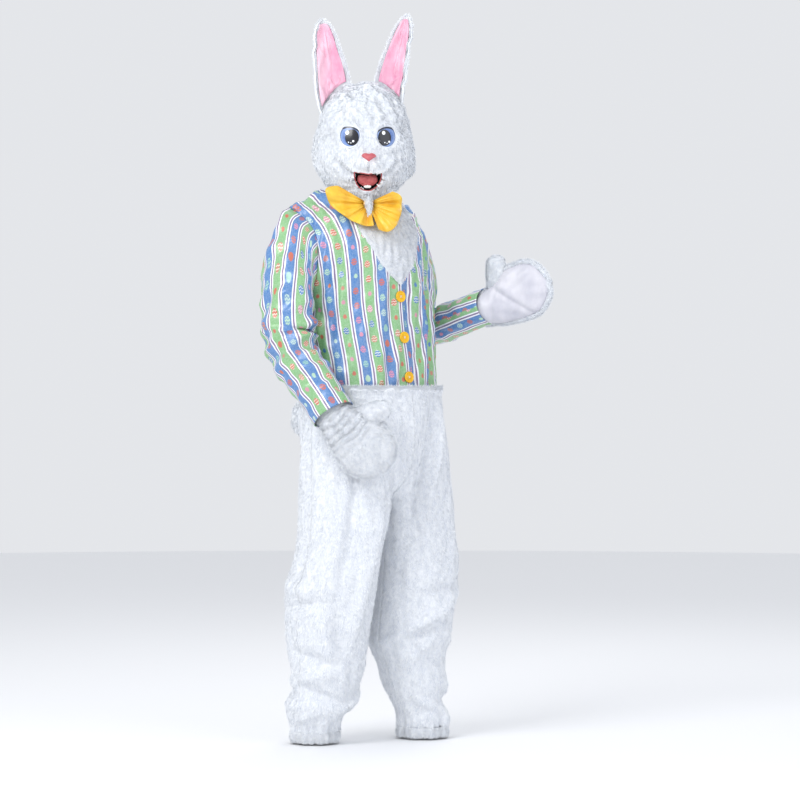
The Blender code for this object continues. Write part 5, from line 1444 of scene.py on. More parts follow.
@dataclass
class Tail:
    """The round plush tail at the back of the hips."""

    radius: float = 0.058

    def build(self, maker: Maker) -> None:
        """Makes the stuffed ball and its pile, in the middle of the frame's tail."""
        low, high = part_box("tail")
        centre = [(a + b) / 2 for a, b in zip(low, high)]
        surface = ball(np.array(centre), (self.radius,) * 3, 60, 90)
        surface.relief = 0.0030 * waves(surface.points, 0.030, 81) + 0.0014 * waves(surface.points, 0.012, 82)
        made = maker.solid("tail_ball", surface.settled(), Cloth.PLUSH, ("tail",))
        maker.pile("pile_of_tail", surface, NAPS["tail"], DOWN, 83)


# distance from the wrist, edge below, edge on the thumb's side
MITT = np.array([
    (-0.026, -0.038, 0.037), (0.002, -0.0425, 0.040), (0.028, -0.050, 0.052), (0.062, -0.054, 0.076),
    (0.100, -0.056, 0.083), (0.133, -0.051, 0.082), (0.156, -0.036, 0.070), (0.172, -0.018, 0.047),
    (0.179, 0.000, 0.026),
])
# distance, half thickness
MITT_DEPTH = np.array([
    (-0.026, 0.036), (0.0, 0.0375), (0.03, 0.0375), (0.06, 0.035), (0.10, 0.031), (0.14, 0.026),
    (0.166, 0.017), (0.179, 0.008),
])
# share of the thumb's length, half width, half thickness
THUMB = np.array([(0.0, 0.034, 0.0215), (0.45, 0.029, 0.021), (0.75, 0.024, 0.018), (0.93, 0.015, 0.012),
                  (1.0, 0.006, 0.005)])


@dataclass
class Mitt:
    """A mitt with a plush back, a satin palm in a plush rim, and a plush thumb."""

    word: str
    side: int
    wrist: Triple
    hand: Triple
    thumb: Triple
    seed: int
    back_wall: float = 0.005
    palm_wall: float = 0.002
    rim_radius: float = 0.0062
    gather_step: float = 0.0195
    puff: float = 0.0040
    pleats: int = 4
    thumb_root: float = 0.043
    thumb_tip: Pair = (0.054, 0.1225)

    def axes(self) -> tuple[Array, Array, Array]:
        """Ways along the hand, towards the thumb and out of the palm."""
        along = unit(np.array(self.hand))
        thumb = np.array(self.thumb)
        thumb = unit(thumb - thumb @ along * along)
        return along, thumb, self.side * np.cross(along, thumb)

    def world(self, along: Array, across: Array, depth: Array) -> Array:
        """Points of the hand's own frame in the costume's: the wrist plus each measure times its way."""
        ways = self.axes()
        parts = [np.asarray(m)[..., None] * way for m, way in zip((along, across, depth), ways)]
        return np.array(self.wrist) + parts[0] + parts[1] + parts[2]

    def edges(self, along: Array) -> tuple[Array, Array, Array]:
        """The two edges and the half thickness at this distance from the wrist."""
        low, high = read(MITT, along)
        return low, high, read(MITT_DEPTH, along)[0]

    def face(self, palm: bool) -> Surface:
        """The palm or the back: half an oval at each distance, with pleats towards the wrist on the back."""
        along = np.linspace(MITT[0, 0], MITT[-1, 0], 84)
        low, high, half = self.edges(along)
        turn = np.linspace(0, math.pi, 49)
        across = -np.cos(turn)
        spread = (low + high)[:, None] / 2 + (high - low)[:, None] / 2 * across
        bulge = half[:, None] * np.sin(turn)
        station = np.broadcast_to(along[:, None], spread.shape)
        middle = self.world(station, np.broadcast_to(((low + high) / 2)[:, None], spread.shape), 0 * station)
        window = np.sin(turn) * smooth_step((station + 0.022) / 0.02)
        if palm:
            lean = (station - 0.075) * 0.75 + spread * 0.66
            crease = -0.0050 * hill(lean, 0.0, 0.006) * hill(station, 0.08, 0.06)
            crease = crease + 0.0030 * hill(lean, 0.016, 0.010)
            crease = crease - 0.0026 * hill(station * 0.9 - spread * 0.45, 0.022, 0.005)
            gather = 0.0010 * np.cos(2 * math.pi * 13 * station / 0.09) * np.abs(across) ** 4
            relief = window * (crease + 0.0016 * waves(middle + spread[..., None], 0.05, self.seed)) + gather
            points = self.world(station, spread, bulge)
        else:
            pleat = 0.0035 * np.cos(self.pleats * 2 * math.pi * turn / math.pi) * np.sin(turn)
            pleat = pleat * smooth_step((0.09 - station) / 0.08) * smooth_step((station + 0.02) / 0.02)
            points = self.world(station, spread, -bulge - pleat)
            bend = station + 0.16 * spread + 0.004 * waves(points, 0.06, self.seed + 1)
            gather = np.clip(np.cos(2 * math.pi * bend / self.gather_step), -0.55, 1.0)
            gather = gather * smooth_step((0.118 - station) / 0.07)
            relief = window * (0.0026 + 0.0034 * gather + 0.0020 * waves(points, 0.045, self.seed + 1))
        relief = relief + 0.0022 * smooth_step((0.020 - station) / 0.02) * np.sin(turn)
        puff = smooth_step((station + 0.014) / 0.014) * smooth_step((0.055 - station) / 0.03)
        relief = relief + self.puff * puff * np.sin(turn) ** 0.5
        return Surface(points, relief=relief).facing(middle).settled()

    def rim(self) -> Surface:
        """The plush rim round the palm: a tube along the seam from the wrist over the fingers and back."""
        along = np.linspace(-0.022, MITT[-1, 0], 64)
        low, high, _ = self.edges(along)
        line = np.concatenate([np.stack([along, high], axis=-1), np.stack([along, low], axis=-1)[::-1][1:]])
        path = self.world(line[:, 0], line[:, 1], np.full(len(line), 0.0035))
        radius = self.rim_radius + 0.0016 * smooth_step((0.004 - line[:, 0]) / 0.016)
        return tube(path, radius, 12, tuple(self.axes()[2]))

    def thumb_surface(self) -> Surface:
        """The thumb: ovals from the mitt's side to the tip, narrowing by the table."""
        share = np.linspace(0, 1, 40)
        half_width, half_depth = read(THUMB, share)
        turn = full_turn(48)
        centre = self.thumb_root + (self.thumb_tip[0] - self.thumb_root) * share
        station = centre[:, None] + half_width[:, None] * np.cos(turn)
        depth = half_depth[:, None] * np.sin(turn)
        low, high, half = self.edges(station)
        bulge = np.sqrt(np.clip(1 - (depth / half) ** 2, 0.05, 1))
        root = (low + high) / 2 + (high - low) / 2 * bulge - 0.004
        across = root + (self.thumb_tip[1] - root) * share[:, None]
        points = self.world(station, across, depth)
        relief = 0.0012 * waves(points, 0.03, self.seed + 2) * smooth_step(share * 6)[:, None]
        surface = Surface(points, closed=True, relief=relief)
        return surface.facing(points.mean(axis=1, keepdims=True)).settled()

    def build(self, maker: Maker) -> None:
        """Makes the mitt's cloth and its pile."""
        back, palm = self.face(False), self.face(True)
        lay = tuple(self.axes()[0])
        maker.sheet(f"mitt_back_{self.word}", back, Cloth.PLUSH, self.back_wall,
                    (f"mitt_{self.word}_back",), "stretched")
        maker.pile(f"pile_of_mitt_{self.word}", back, NAPS["mitt"], lay, self.seed + 3)
        maker.sheet(f"mitt_palm_{self.word}", palm, Cloth.WHITE_SATIN, self.palm_wall,
                    (f"mitt_{self.word}_palm",), "stretched")
        rim = self.rim()
        maker.solid(f"mitt_rim_{self.word}", rim, Cloth.PLUSH)
        maker.pile(f"pile_of_mitt_rim_{self.word}", rim, NAPS["mitt_rim"], lay, self.seed + 4)
        thumb = self.thumb_surface()
        maker.solid(f"mitt_thumb_{self.word}", thumb, Cloth.PLUSH, (f"mitt_{self.word}_thumb",))
        maker.pile(f"pile_of_mitt_thumb_{self.word}", thumb, NAPS["mitt_thumb"], lay, self.seed + 5)


# columns: word, side, wrist, way of the hand, way of the thumb, seed
MITTS = (
    Mitt("right", RIGHT, (-0.2253, -0.1368, -0.5415), (0.446, -0.353, -0.821), (0.590, -0.571, 0.566), 111),
    Mitt("left", LEFT, (0.252, -0.203, -0.2652), (0.293, -0.920, 0.264), (-0.2135, 0.2062, 0.9556), 121),
)
# spread of the fan in degrees from level, radius there
BOW_RIGHT = np.array([
    (-98.0, 0.060), (-75.0, 0.061), (-48.0, 0.064), (-15.0, 0.082), (8.0, 0.107), (19.0, 0.114),
    (30.0, 0.090),
])
BOW_LEFT = np.array([
    (-74.0, 0.072), (-60.0, 0.086), (-44.0, 0.088), (-24.0, 0.085), (-5.0, 0.085), (14.0, 0.084),
    (27.0, 0.070),
])


@dataclass
class BowTie:
    """Two pleated satin wings, the knot and the lock of chin plush that hangs between them."""

    knot_z: float = -0.008
    reach: float = 0.109
    lean: float = 0.78
    root: float = 0.0135
    half_fold: float = 0.010
    pleats: float = 3.5
    wall: float = 0.0016

    def wing(self, fan: Array, side: int, seed: int) -> Surface:
        """A wing: a folded strip whose pleats are cosines of the spread, deepest half way out.

        Args:
            fan: Spread and radius.
            side: -1 for the wearer's right, 1 for the left.
            seed: Seed of the small creases.

        Returns:
            The surface.
        """
        place = np.linspace(0, 1, 73)
        spread = fan[0, 0] + (fan[-1, 0] - fan[0, 0]) * place
        radius = smooth_curve(fan[:, 0], fan[:, 1], spread)
        strip = np.linspace(-1, 1, 57)
        out_share = 1 - np.abs(strip) ** 1.6
        distance = self.root + (radius - self.root)[None, :] * out_share[:, None]
        share = distance / radius[None, :]
        half = self.half_fold * np.sqrt(np.clip(out_share * (1 - out_share) * 4, 0, 1)) * 0.55 + 0.0028
        layer = np.tanh(strip * 9) * half
        deep = smooth_step(np.clip(share, 0, 1) / 0.75)
        pleat = (0.0035 + 0.0062 * np.cos(self.pleats * 2 * math.pi * place)[None, :]) * deep
        fine = 0.0016 * np.cos(11 * 2 * math.pi * place + 0.9)[None, :] * np.clip(1.2 - share, 0, 1)
        fine = fine + 0.0011 * np.cos(17 * 2 * math.pi * place + 2.1)[None, :] * np.clip(1.1 - share, 0, 1)
        angle = np.radians(spread)[None, :]
        across = side * distance * np.cos(angle)
        up = distance * np.sin(angle)
        out = self.reach + self.lean * np.clip(-up, 0, None) + 0.10 * np.clip(up, 0, None)
        out = out + layer[:, None] + pleat + fine
        points = np.stack([across, -out + HEAD_Y, self.knot_z + up], axis=-1)
        points[..., 1] += 0.0009 * waves(points, 0.022, seed)
        core = np.array([side * 0.05, -self.reach - 0.01 + HEAD_Y, self.knot_z - 0.02])
        return Surface(turned(points, HEAD_TURN)).facing(turned(core, HEAD_TURN))

    def lock(self) -> Surface:
        """The lock of plush: a flat tube from the chin over the knot, narrowing to its end."""
        rail = np.array([
            (-0.070, 0.008), (-0.094, 0.003), (-0.113, -0.003), (-0.124, -0.013), (-0.130, -0.027),
            (-0.135, -0.042), (-0.138, -0.054),
        ])
        line = smooth_curve(np.arange(7), rail, np.linspace(0, 6, 40))
        path = np.stack([np.zeros(40), line[:, 0] + HEAD_Y, line[:, 1]], axis=-1)
        radius = np.interp(np.linspace(0, 1, 40), [0, 0.35, 0.8, 1.0], [0.018, 0.0155, 0.0095, 0.003])
        return tube(turned(path, HEAD_TURN), radius, 24, (math.cos(HEAD_TURN), math.sin(HEAD_TURN), 0), 0.42)

    def build(self, maker: Maker) -> None:
        """Makes the wings, the knot and the lock with its pile."""
        for fan, side, word, seed in ((BOW_RIGHT, RIGHT, "right", 91), (BOW_LEFT, LEFT, "left", 92)):
            maker.sheet(f"bow_{word}", self.wing(fan, side, seed), Cloth.YELLOW_SATIN, self.wall,
                        (f"bow_wing_{word}",), "gathered")
        middle = turned(np.array([0, HEAD_Y - self.reach, self.knot_z]), HEAD_TURN)
        knot = ball(np.zeros(3), (0.0132, 0.0122, 0.0125), 40, 60)
        ridge = np.arctan2(knot.points[..., 1], knot.points[..., 0])
        knot.relief = 0.0006 * np.cos(9 * ridge) + 0.0004 * np.cos(17 * ridge + 1)
        knot = knot.settled()
        knot.points = turned(knot.points, HEAD_TURN) + middle
        maker.solid("knot", knot, Cloth.YELLOW_SATIN, ("bow_knot",))
        lock = self.lock()
        maker.solid("chin_lock", lock, Cloth.HEAD_PLUSH)
        maker.pile("pile_of_chin_lock", lock, NAPS["chin_lock"], DOWN, 93)


# height, half width, depth in front, depth behind
MASK = np.array([
    (-0.030, 0.002, 0.002, 0.002), (0.002, 0.052, 0.068, 0.058), (0.018, 0.066, 0.084, 0.070),
    (0.033, 0.077, 0.092, 0.079), (0.050, 0.096, 0.099, 0.090), (0.068, 0.112, 0.104, 0.101),
    (0.0845, 0.121, 0.108, 0.109), (0.118, 0.1285, 0.112, 0.118), (0.151, 0.1255, 0.113, 0.122),
    (0.193, 0.117, 0.110, 0.121), (0.228, 0.109, 0.103, 0.114), (0.259, 0.094, 0.088, 0.098),
    (0.285, 0.068, 0.065, 0.072), (0.302, 0.038, 0.037, 0.041), (0.312, 0.001, 0.001, 0.001),
])
# place across the face, height: from the mouth's corner out over the cheek
SMILE_CREASE = np.array([(0.031, 0.064), (0.046, 0.070), (0.060, 0.081), (0.073, 0.101)])


@dataclass
class MaskHead:
    """The plush mask: shell, eyes, nose, lips and what shows inside the mouth."""

    opening_z: float = 0.002
    core_z: float = 0.16
    wall: float = 0.007
    rise: float = 0.013
    muzzle_half_width: float = 0.046
    muzzle_z: float = 0.090
    muzzle_half_height: float = 0.034
    eye_x: float = 0.046
    eye_z: float = 0.164
    eye_half: Pair = (0.024, 0.028)
    nose_z: float = 0.110
    nose_half: Pair = (0.0192, 0.0102)
    mouth_top: float = 0.072
    mouth_bottom: float = 0.026
    mouth_half: float = 0.035
    mouth_sag: float = 0.006

    def size(self, z: Array) -> tuple[Array, Array, Array]:
        """Half width, depth in front and depth behind at this height."""
        return tuple(read(MASK, z))

    def section(self, z: float | Array, bearing: Array) -> Array:
        """A level section: one over the root of the squares of cosine over half width and sine over depth.

        Args:
            z: Height.
            bearing: Bearings from the head's own x axis.

        Returns:
            Points in the level plane.
        """
        half_width, front, back = self.size(np.broadcast_to(z, np.shape(bearing)))
        depth = np.where(np.sin(bearing) < 0, front, back)
        radius = 1 / np.sqrt((np.cos(bearing) / half_width) ** 2 + (np.sin(bearing) / depth) ** 2)
        return np.stack([radius * np.cos(bearing), HEAD_Y + radius * np.sin(bearing)], axis=-1)

    def muzzle(self, x: Array, z: Array) -> Array:
        """How far the muzzle stands out: its rise times e to minus the squares of the places."""
        return self.rise * np.exp(-(x / self.muzzle_half_width) ** 2
                                  - ((z - self.muzzle_z) / self.muzzle_half_height) ** 2)

    def face_y(self, x: Array, z: Array) -> Array:
        """The y of the face: the front depth times the root of one less the square across, and the muzzle."""
        half_width, front, _ = self.size(z)
        return HEAD_Y - front * np.sqrt(np.clip(1 - (x / half_width) ** 2, 0, 1)) - self.muzzle(x, z)

    def outside(self, points: Array) -> Array:
        """Above 0 where a point lies outside the plain head."""
        half_width, front, back = self.size(points[..., 2])
        y = points[..., 1] - HEAD_Y
        level = (points[..., 0] / half_width) ** 2 + (y / np.where(y < 0, front, back)) ** 2 - 1
        return np.where(points[..., 2] > MASK[-1, 0], 1.0, level)

    def mouth_outline(self, count: int, grow: float = 0.0) -> Array:
        """The mouth's edge: a wide smile on top and a round bottom, as x and z."""
        angle = full_turn(count)
        x = (self.mouth_half + grow) * np.cos(angle)
        upper = self.mouth_top + grow - self.mouth_sag * (1 - np.abs(np.cos(angle)))
        lower = self.mouth_top - (self.mouth_top - self.mouth_bottom + grow) * np.abs(np.sin(angle)) ** 0.9
        return np.stack([x, np.where(np.sin(angle) >= 0, upper, lower)], axis=-1)

    def in_mouth(self, x: Array, z: Array, grow: float = 0.0) -> Array:
        """Whether a place of the face lies within the mouth."""
        share = np.clip(np.abs(x) / (self.mouth_half + grow), 0, 1)
        top = self.mouth_top + grow - self.mouth_sag * (1 - share)
        low = self.mouth_top - (self.mouth_top - self.mouth_bottom + grow) * (1 - share ** 2) ** 0.45
        return (np.abs(x) < self.mouth_half + grow) & (z < top) & (z > low)

    def nose_outline(self, count: int) -> Array:
        """A rounded triangle with its point down and a notch on top, as x and z."""
        angle = full_turn(count)
        pinch = 1 - 0.80 * np.clip(-np.sin(angle), 0, 1) ** 0.8
        notch = 1 - 0.35 * hill(np.cos(angle), 0.0, 0.3) * (np.sin(angle) > 0)
        drop = np.where(np.sin(angle) < 0, 1.22, 1.0)
        return np.stack([self.nose_half[0] * np.cos(angle) * pinch,
                         self.nose_half[1] * np.sin(angle) * notch * drop], axis=-1)

    def eye_outline(self, count: int) -> Array:
        """The oval of an eye, as x and z."""
        angle = full_turn(count)
        return np.stack([self.eye_half[0] * np.cos(angle), self.eye_half[1] * np.sin(angle)], axis=-1)

    def covered(self, x: Array, z: Array, front: Array) -> Array:
        """Whether an eye or the nose lies over a place of the face."""
        across, up = self.eye_half
        eyes = ((np.abs(x) - self.eye_x) / across) ** 2 + ((z - self.eye_z) / up) ** 2 < 0.92
        across, up = self.nose_half
        nose = (x / across) ** 2 + ((z - self.nose_z) / up) ** 2 < 0.75
        return front & (eyes | nose)

    def relief(self, x: Array, z: Array, points: Array, front: Array) -> Array:
        """Height over the plain head: lumps of plush, cheeks, smile creases, lip line and eye sockets."""
        height = 0.0032 * waves(points * (1, 1, 0.8), 0.052, 101) + 0.0014 * waves(points, 0.017, 102)
        line = smooth_curve(np.arange(4), SMILE_CREASE, np.linspace(0, 3, 60))
        away = np.min(np.hypot(np.abs(x)[..., None] - line[:, 0], z[..., None] - line[:, 1]), axis=-1)
        over = 0.0030 * hill(away, 0.011, 0.008) - 0.0085 * hill(away, 0.0, 0.0048)
        seam = -0.0040 * hill(x, 0.0, 0.0032) * smooth_step((0.103 - z) / 0.01)
        seam = seam * smooth_step((z - 0.064) / 0.01)
        pads = 0.0030 * np.exp(-((np.abs(x) - 0.020) / 0.013) ** 2 - ((z - 0.086) / 0.012) ** 2)
        ring = np.hypot((np.abs(x) - self.eye_x) / self.eye_half[0], (z - self.eye_z) / self.eye_half[1])
        socket = 0.0032 * hill(ring, 1.24, 0.16) - 0.0010 * hill(ring, 1.0, 0.07)
        lips = 0.0026 * self.in_mouth(x, z, 0.006)
        calm = np.where(front, smooth_step((ring - 0.85) / 0.3), 1.0)
        return calm * height + np.where(front, over + seam + pads + socket + lips, 0.0)

    def shell(self) -> tuple[Surface, Array, Array]:
        """The head's outer side, which of its quads are kept, and which carry pile."""
        fine = np.linspace(self.opening_z, MASK[-1, 0] - 0.0002, 4000)
        half = self.size(fine)[0]
        run = np.concatenate([[0.0], np.cumsum(np.hypot(np.diff(fine), np.diff(half)))])
        z = np.interp(np.linspace(0, run[-1], 106), run, fine)[:, None]
        even = full_turn(192)
        bearing = even - math.pi / 2 - 0.38 * np.sin(even)
        z, bearing = np.broadcast_arrays(z, bearing)
        flat = self.section(z, bearing)
        x, y = flat[..., 0], flat[..., 1]
        reach = np.sqrt(x ** 2 + (y - HEAD_Y) ** 2 + (z - self.core_z) ** 2)
        y = y - smooth_step((HEAD_Y - y) / reach * 4) * self.muzzle(x, z)
        front = y < HEAD_Y - 0.03
        inside = front & self.in_mouth(x, z)
        after = np.roll(inside, -1, axis=1)
        gone = inside[:-1] & after[:-1] & after[1:] & inside[1:]
        edge = self.mouth_outline(720)
        away = (x[inside][:, None] - edge[:, 0]) ** 2 + (z[inside][:, None] - edge[:, 1]) ** 2
        near = edge[np.argmin(away, axis=1)]
        x, y, z = x.copy(), y.copy(), z.copy()
        x[inside], z[inside] = near[:, 0], near[:, 1]
        y[inside] = self.face_y(near[:, 0], near[:, 1])
        points = np.stack([x, y, z], axis=-1)
        points[-1] = points[-1].mean(axis=0)
        relief = self.relief(x, z, points, front)
        relief[-1] = relief[-1].mean()
        relief = relief * smooth_step((z - self.opening_z) / 0.01)
        surface = Surface(points, closed=True, relief=relief, tip=True)
        surface = surface.facing(np.array([0, HEAD_Y, self.core_z]))
        if not np.allclose(surface.points[:, 0], points[:, 0]):
            raise ValueError("the head's columns were turned")
        surface = surface.settled().on_head()
        hidden = self.covered(x, z, front)
        bare = hidden | (front & self.in_mouth(x, z, 0.0075))
        return surface, ~gone, ~gone & ~(bare[:-1] | bare[1:])

    def dome(self, outline: Array, centre: Pair, dome: float, rim: float) -> Surface:
        """A dome on the face: its front bulges by the root of one less the square of the place.

        Args:
            outline: Edge as x and z about its middle.
            centre: Its middle on the face.
            dome: Height in the middle.
            rim: Height at the edge.

        Returns:
            The surface, with flat coordinates about its middle.
        """
        back = [(share, -0.0035) for share in (0.02, 0.5, 0.97)]
        edge = [(1.0, -0.0035), (1.0, rim * 0.4), (0.985, rim * 0.8)]
        front = [(share, rim + (dome - rim) * math.sqrt(1 - share ** 2))
                 for share in np.linspace(0.96, 0.01, 34)]
        rings, flats = [], []
        for share, height in back + edge + front:
            x, z = (np.array(centre) + outline * share).T
            rings.append(np.stack([x, self.face_y(x, z) - 0.0006 - height, z], axis=-1))
            flats.append(outline * share)
        surface = Surface(np.array(rings), closed=True, flat=np.array(flats))
        return surface.facing(surface.points.mean(axis=(0, 1))).on_head()

    def edging(self, line: Array, lift: float, radius: float) -> Surface:
        """A thin tube on the face along a closed line.

        Args:
            line: Its x and z.
            lift: How far its middle stands off the face.
            radius: Radius of the tube.

        Returns:
            The surface.
        """
        line = np.concatenate([line, line[:1]])
        path = np.stack([line[:, 0], self.face_y(line[:, 0], line[:, 1]) - lift, line[:, 1]], axis=-1)
        surface = tube(path, np.full(len(path), radius), 10, (0, 1, 0))
        surface.points[-1] = surface.points[0]
        return surface.on_head()

    def build(self, maker: Maker, nodes: dict[str, bpy.types.Object]) -> None:
        """Makes the shell with its pile, the domes and the lips, and dresses what shows in the mouth.

        Args:
            maker: Maker of pieces.
            nodes: The frame's solids.
        """
        surface, kept, furred = self.shell()
        maker.sheet("mask_shell", surface, Cloth.HEAD_PLUSH, self.wall, ("mask_face", "mask_back"), keep=kept)
        maker.pile("pile_of_mask", surface, NAPS["mask"], DOWN, 103, furred)
        for (side, word), cloth in zip(SIDES, (Cloth.EYE_RIGHT, Cloth.EYE_LEFT)):
            centre = (side * self.eye_x, self.eye_z)
            eye = self.dome(self.eye_outline(96), centre, 0.0050, 0.0022)
            maker.solid(f"painted_eye_{word}", eye, cloth, (f"eye_{word}",))
            line = np.array(centre) + self.eye_outline(120) * 1.05
            maker.solid(f"eye_edge_{word}", self.edging(line, 0.0006, 0.0018), Cloth.HEAD_PLUSH)
        nose = self.dome(self.nose_outline(96), (0.0, self.nose_z), 0.0075, 0.003)
        maker.solid("nose_pad", nose, Cloth.NOSE, ("nose",))
        maker.solid("lips", self.edging(self.mouth_outline(180), 0.0008, 0.0013), Cloth.TONGUE)
        tongue = ball(np.zeros(3), (0.0262, 0.0076, 0.0175), 44, 72)
        groove = -0.0022 * np.exp(-(tongue.points[..., 0] / 0.0035) ** 2)
        tongue.relief = groove + 0.0005 * waves(tongue.points, 0.010, 104)
        tongue = tongue.settled()
        low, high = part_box("tongue")
        tongue.points = turned(tongue.points, HEAD_TURN) + (np.array(low) + np.array(high)) / 2
        tongue.points[..., 2] += 0.0030
        maker.solid("tongue_pad", tongue, Cloth.TONGUE, ("tongue",))
        for name, cloth in (("mouth_lining", Cloth.MOUTH), ("teeth", Cloth.TEETH)):
            mesh = nodes[name].data
            mesh.materials.clear()
            mesh.materials.append(maker.finishes[cloth])


# height, centre x, centre y, half width, measured from the middle of the mask
EAR_RIGHT = np.array([
    (0.205, -0.088, 0.022, 0.014), (0.235, -0.084, 0.021, 0.032), (0.262, -0.081, 0.020, 0.043),
    (0.295, -0.082, 0.018, 0.0465), (0.325, -0.0855, 0.016, 0.0455), (0.360, -0.091, 0.014, 0.042),
    (0.389, -0.097, 0.012, 0.037), (0.420, -0.101, 0.010, 0.031), (0.443, -0.104, 0.010, 0.025),
    (0.459, -0.1055, 0.010, 0.016), (0.470, -0.106, 0.010, 0.005),
])
EAR_LEFT = np.array([
    (0.205, 0.082, 0.020, 0.012), (0.235, 0.077, 0.018, 0.028), (0.262, 0.073, 0.016, 0.037),
    (0.295, 0.073, 0.014, 0.041), (0.325, 0.078, 0.012, 0.0425), (0.360, 0.085, 0.010, 0.039),
    (0.389, 0.091, 0.010, 0.035), (0.425, 0.101, 0.010, 0.030), (0.452, 0.107, 0.010, 0.023),
    (0.473, 0.111, 0.010, 0.014), (0.485, 0.113, 0.010, 0.005),
])


@dataclass
class Ear:
    """A cupped plush ear with a wrinkled satin lining inside its plush rim."""

    word: str
    table: Array
    turn: float
    seed: int
    cup: float = 0.020
    wall: float = 0.006
    root_depth: float = 0.004
    lining_share: float = 0.87
    lining_low: float = 0.09
    lining_high: float = 0.945
    lining_wall: float = 0.0014
    lining_gap: float = 0.0016

    def points(self, across: Array, z: Array) -> Array:
        """The leaf: half width times the place across, its edges forward by the square of the place."""
        x, y, half_width = read(self.table, z)
        forward = -self.cup * np.minimum(half_width / 0.04, 1) * across ** 2
        sideways = half_width * across
        cosine, sine = math.cos(self.turn), math.sin(self.turn)
        return np.stack([x + sideways * cosine - forward * sine, y + sideways * sine + forward * cosine,
                         z + 0 * across], axis=-1)

    def grid(self, head: MaskHead, across: Array, up: Array) -> Array:
        """Points from the head's crown, found by halving in each column, to the tip."""
        low = np.full(len(across), self.table[0, 0])
        high = np.full(len(across), self.table[4, 0])
        for _ in range(32):
            middle = (low + high) / 2
            out = head.outside(self.points(across, middle)) > 0
            high = np.where(out, middle, high)
            low = np.where(out, low, middle)
        root = low - self.root_depth
        z = root + (self.table[-1, 0] - root) * up[:, None]
        return self.points(np.broadcast_to(across, z.shape), z)

    def shell(self, head: MaskHead) -> Surface:
        """The plush leaf, its outer side behind."""
        across = np.linspace(-1, 1, 49)
        up = np.linspace(0, 1, 100)
        points = self.grid(head, across, up)
        relief = 0.0016 * waves(points, 0.035, self.seed) * smooth_step(up * 8)[:, None]
        relief = relief * smooth_step((1 - up) * 8)[:, None]
        behind = points.mean(axis=(0, 1)) - (0, 0.2, 0)
        return Surface(points, relief=relief).facing(behind).settled()

    def lining(self, head: MaskHead) -> Surface:
        """The lining: the leaf again inside its rim, forward of the plush and only ever raised from it."""
        across = np.linspace(-1, 1, 47) * self.lining_share
        up = np.linspace(self.lining_low, self.lining_high, 96)
        place = across[None, :] / self.lining_share
        points = self.grid(head, across, up)
        behind = points.mean(axis=(0, 1)) - (0, 0.2, 0)
        level = up[:, None]
        low = hill(level, 0.16, 0.22)
        wrinkles = 0.0030 * waves(points * (1.4, 1.4, 0.55), 0.055, self.seed + 1)
        crumple = creases(points * (1.0, 1.0, 0.8), 0.050, self.seed + 2)
        wrinkles = wrinkles + (0.0016 + 0.0030 * low) * crumple
        wrinkles = wrinkles + 0.0022 * low * creases(points, 0.026, self.seed + 3)
        middle = 0.0026 * hill(place, 0.06, 0.16) - 0.0018 * hill(place, -0.22, 0.13)
        edge = smooth_step((1 - np.abs(place)) / 0.08) * smooth_step((up - self.lining_low) / 0.03)[:, None]
        edge = edge * smooth_step((self.lining_high - up) / 0.03)[:, None]
        hills = 1.25 * (wrinkles + middle)
        raised = (hills + np.sqrt(hills ** 2 + 0.0012 ** 2)) / 2
        relief = -(self.wall + self.lining_gap) - edge * (0.0010 + raised)
        return Surface(points, relief=relief).facing(behind).settled()

    def front_rim(self, shell: Surface) -> tuple[Surface, Array]:
        """The front of the plush with the quads outside the lining."""
        inner = shell.points - self.wall * shell.normals()
        rows, columns = inner.shape[:2]
        place = np.linspace(-1, 1, columns)
        up = np.linspace(0, 1, rows)
        outside = (np.abs(place) > self.lining_share * 0.97)[None, :] | ((up > 0.935) | (up < 0.10))[:, None]
        keep = outside[:-1, :-1] & outside[1:, 1:]
        return Surface(inner[:, ::-1].copy()), keep[:, ::-1]

    def build(self, maker: Maker, head: MaskHead) -> None:
        """Makes the leaf, its pile on both sides, and the lining."""
        shell = self.shell(head).on_head()
        maker.sheet(f"ear_leaf_{self.word}", shell, Cloth.HEAD_PLUSH, self.wall, (f"ear_{self.word}",))
        maker.pile(f"pile_of_ear_{self.word}", shell, NAPS["ear"], UP, self.seed + 4)
        front, keep = self.front_rim(shell)
        maker.pile(f"pile_of_ear_rim_{self.word}", front, NAPS["ear_rim"], UP, self.seed + 5, keep)
        lining = self.lining(head).on_head()
        maker.sheet(f"ear_satin_{self.word}", lining, Cloth.PINK_SATIN, self.lining_wall,
                    (f"ear_{self.word}_lining",), "stretched")


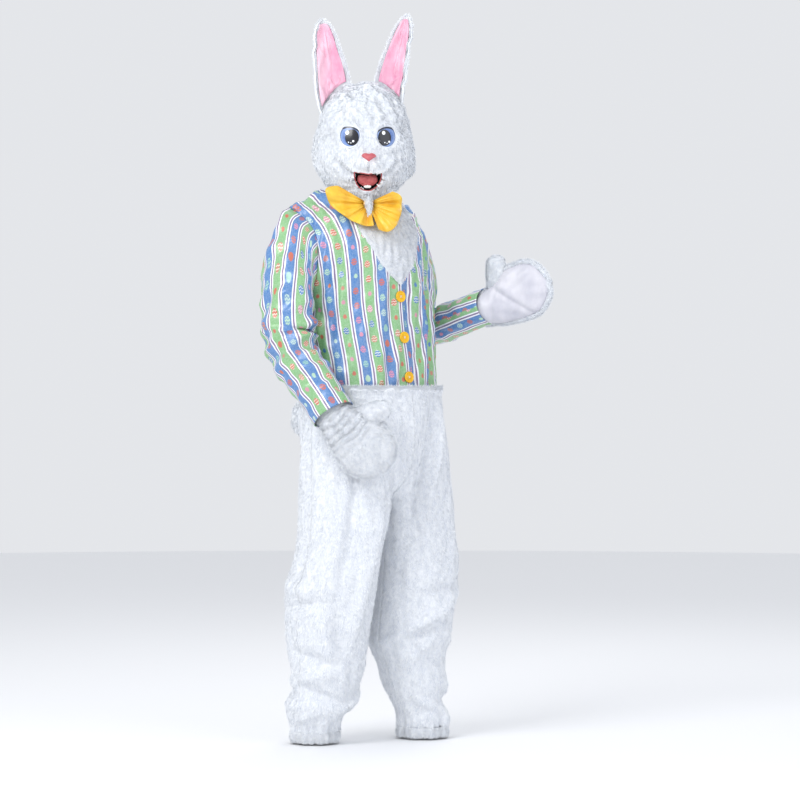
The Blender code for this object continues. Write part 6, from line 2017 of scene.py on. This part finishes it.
@dataclass
class Studio:
    """The pale floor, the soft lights and the camera at the photograph's angle."""

    bearing: float = math.radians(-44)
    aside: float = 0.092
    away: float = 7.12
    height: float = -0.504
    lens: float = 125.0
    floor_z: float = -1.3775
    floor_radius: float = 9
    sky: float = 0.86

    def lamp(self, name: str, place: Triple, size: float, power: float,
             colour: str) -> None:
        """Adds a soft square light that faces the costume."""
        data = bpy.data.lights.new(name, "AREA")
        data.shape = "SQUARE"
        data.size = size
        data.energy = power
        data.color = linear(colour)[:3]
        made = bpy.data.objects.new(name, data)
        made.location = place
        aim = np.array([0.0, 0.0, -0.35]) - np.array(place)
        made.rotation_euler = (math.atan2(math.hypot(aim[0], aim[1]), -aim[2]), 0,
                               math.atan2(aim[1], aim[0]) - math.pi / 2)
        bpy.context.scene.collection.objects.link(made)

    def build(self) -> None:
        """Builds the floor, lights, world and camera."""
        scene = bpy.context.scene
        scene.view_settings.view_transform = "Standard"
        right = np.array([math.cos(self.bearing), math.sin(self.bearing), 0.0])
        ahead = np.array([-math.sin(self.bearing), math.cos(self.bearing), 0.0])
        floor_look = Recipe("pale studio floor").finish(Base_Color=linear("F1F2F4"), Roughness=0.85)
        turn = full_turn(96)
        ring = np.stack([self.floor_radius * np.cos(turn), self.floor_radius * np.sin(turn),
                         np.full(96, self.floor_z)], axis=-1)
        mesh = bpy.data.meshes.new("floor")
        mesh.from_pydata(ring.tolist(), [], [tuple(range(96))])
        mesh.materials.append(floor_look)
        floor = bpy.data.objects.new("floor", mesh)
        scene.collection.objects.link(floor)
        world = bpy.data.worlds.new("pale studio")
        world.use_nodes = True
        background = world.node_tree.nodes["Background"]
        background.inputs[0].default_value = linear("F4F6FA")
        background.inputs[1].default_value = self.sky
        scene.world = world
        key = -2.6 * ahead - 1.9 * right
        fill = -2.6 * ahead + 2.6 * right
        rear = 2.4 * ahead + 1.0 * right
        self.lamp("key light", (key[0], key[1], 1.7), 1.7, 78.0, "FFFFFF")
        self.lamp("fill light", (fill[0], fill[1], 0.5), 2.6, 24.0, "F2F5FF")
        self.lamp("rear light", (rear[0], rear[1], 1.9), 2.0, 22.0, "FFFFFF")
        data = bpy.data.cameras.new("photograph camera")
        data.sensor_width = 36.0
        data.lens = self.lens
        camera = bpy.data.objects.new("photograph camera", data)
        place = right * self.aside - ahead * self.away
        camera.location = (place[0], place[1], self.height)
        camera.rotation_euler = (math.pi / 2, 0, self.bearing)
        scene.collection.objects.link(camera)
        scene.camera = camera


def main() -> None:
    """Loads the frame, builds each part of the costume in turn and logs each piece's faces."""
    logging.basicConfig(level=logging.INFO, format="%(name)s: %(message)s")
    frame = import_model()
    maker = Maker()
    torso = Torso()
    head = MaskHead()
    JacketTop(torso).build(maker)
    log.info("jacket done")
    ChestFront(torso).build(maker, head)
    Buttons(torso).build(maker)
    Trousers().build(maker)
    log.info("trousers done")
    Tail().build(maker)
    for mitt in MITTS:
        mitt.build(maker)
    log.info("mitts done")
    BowTie().build(maker)
    head.build(maker, frame["nodes"])
    Ear("right", EAR_RIGHT, math.radians(4), 131).build(maker, head)
    Ear("left", EAR_LEFT, math.radians(-26), 141).build(maker, head)
    log.info("mask done")
    Studio().build()


if __name__ == "__main__":
    main()
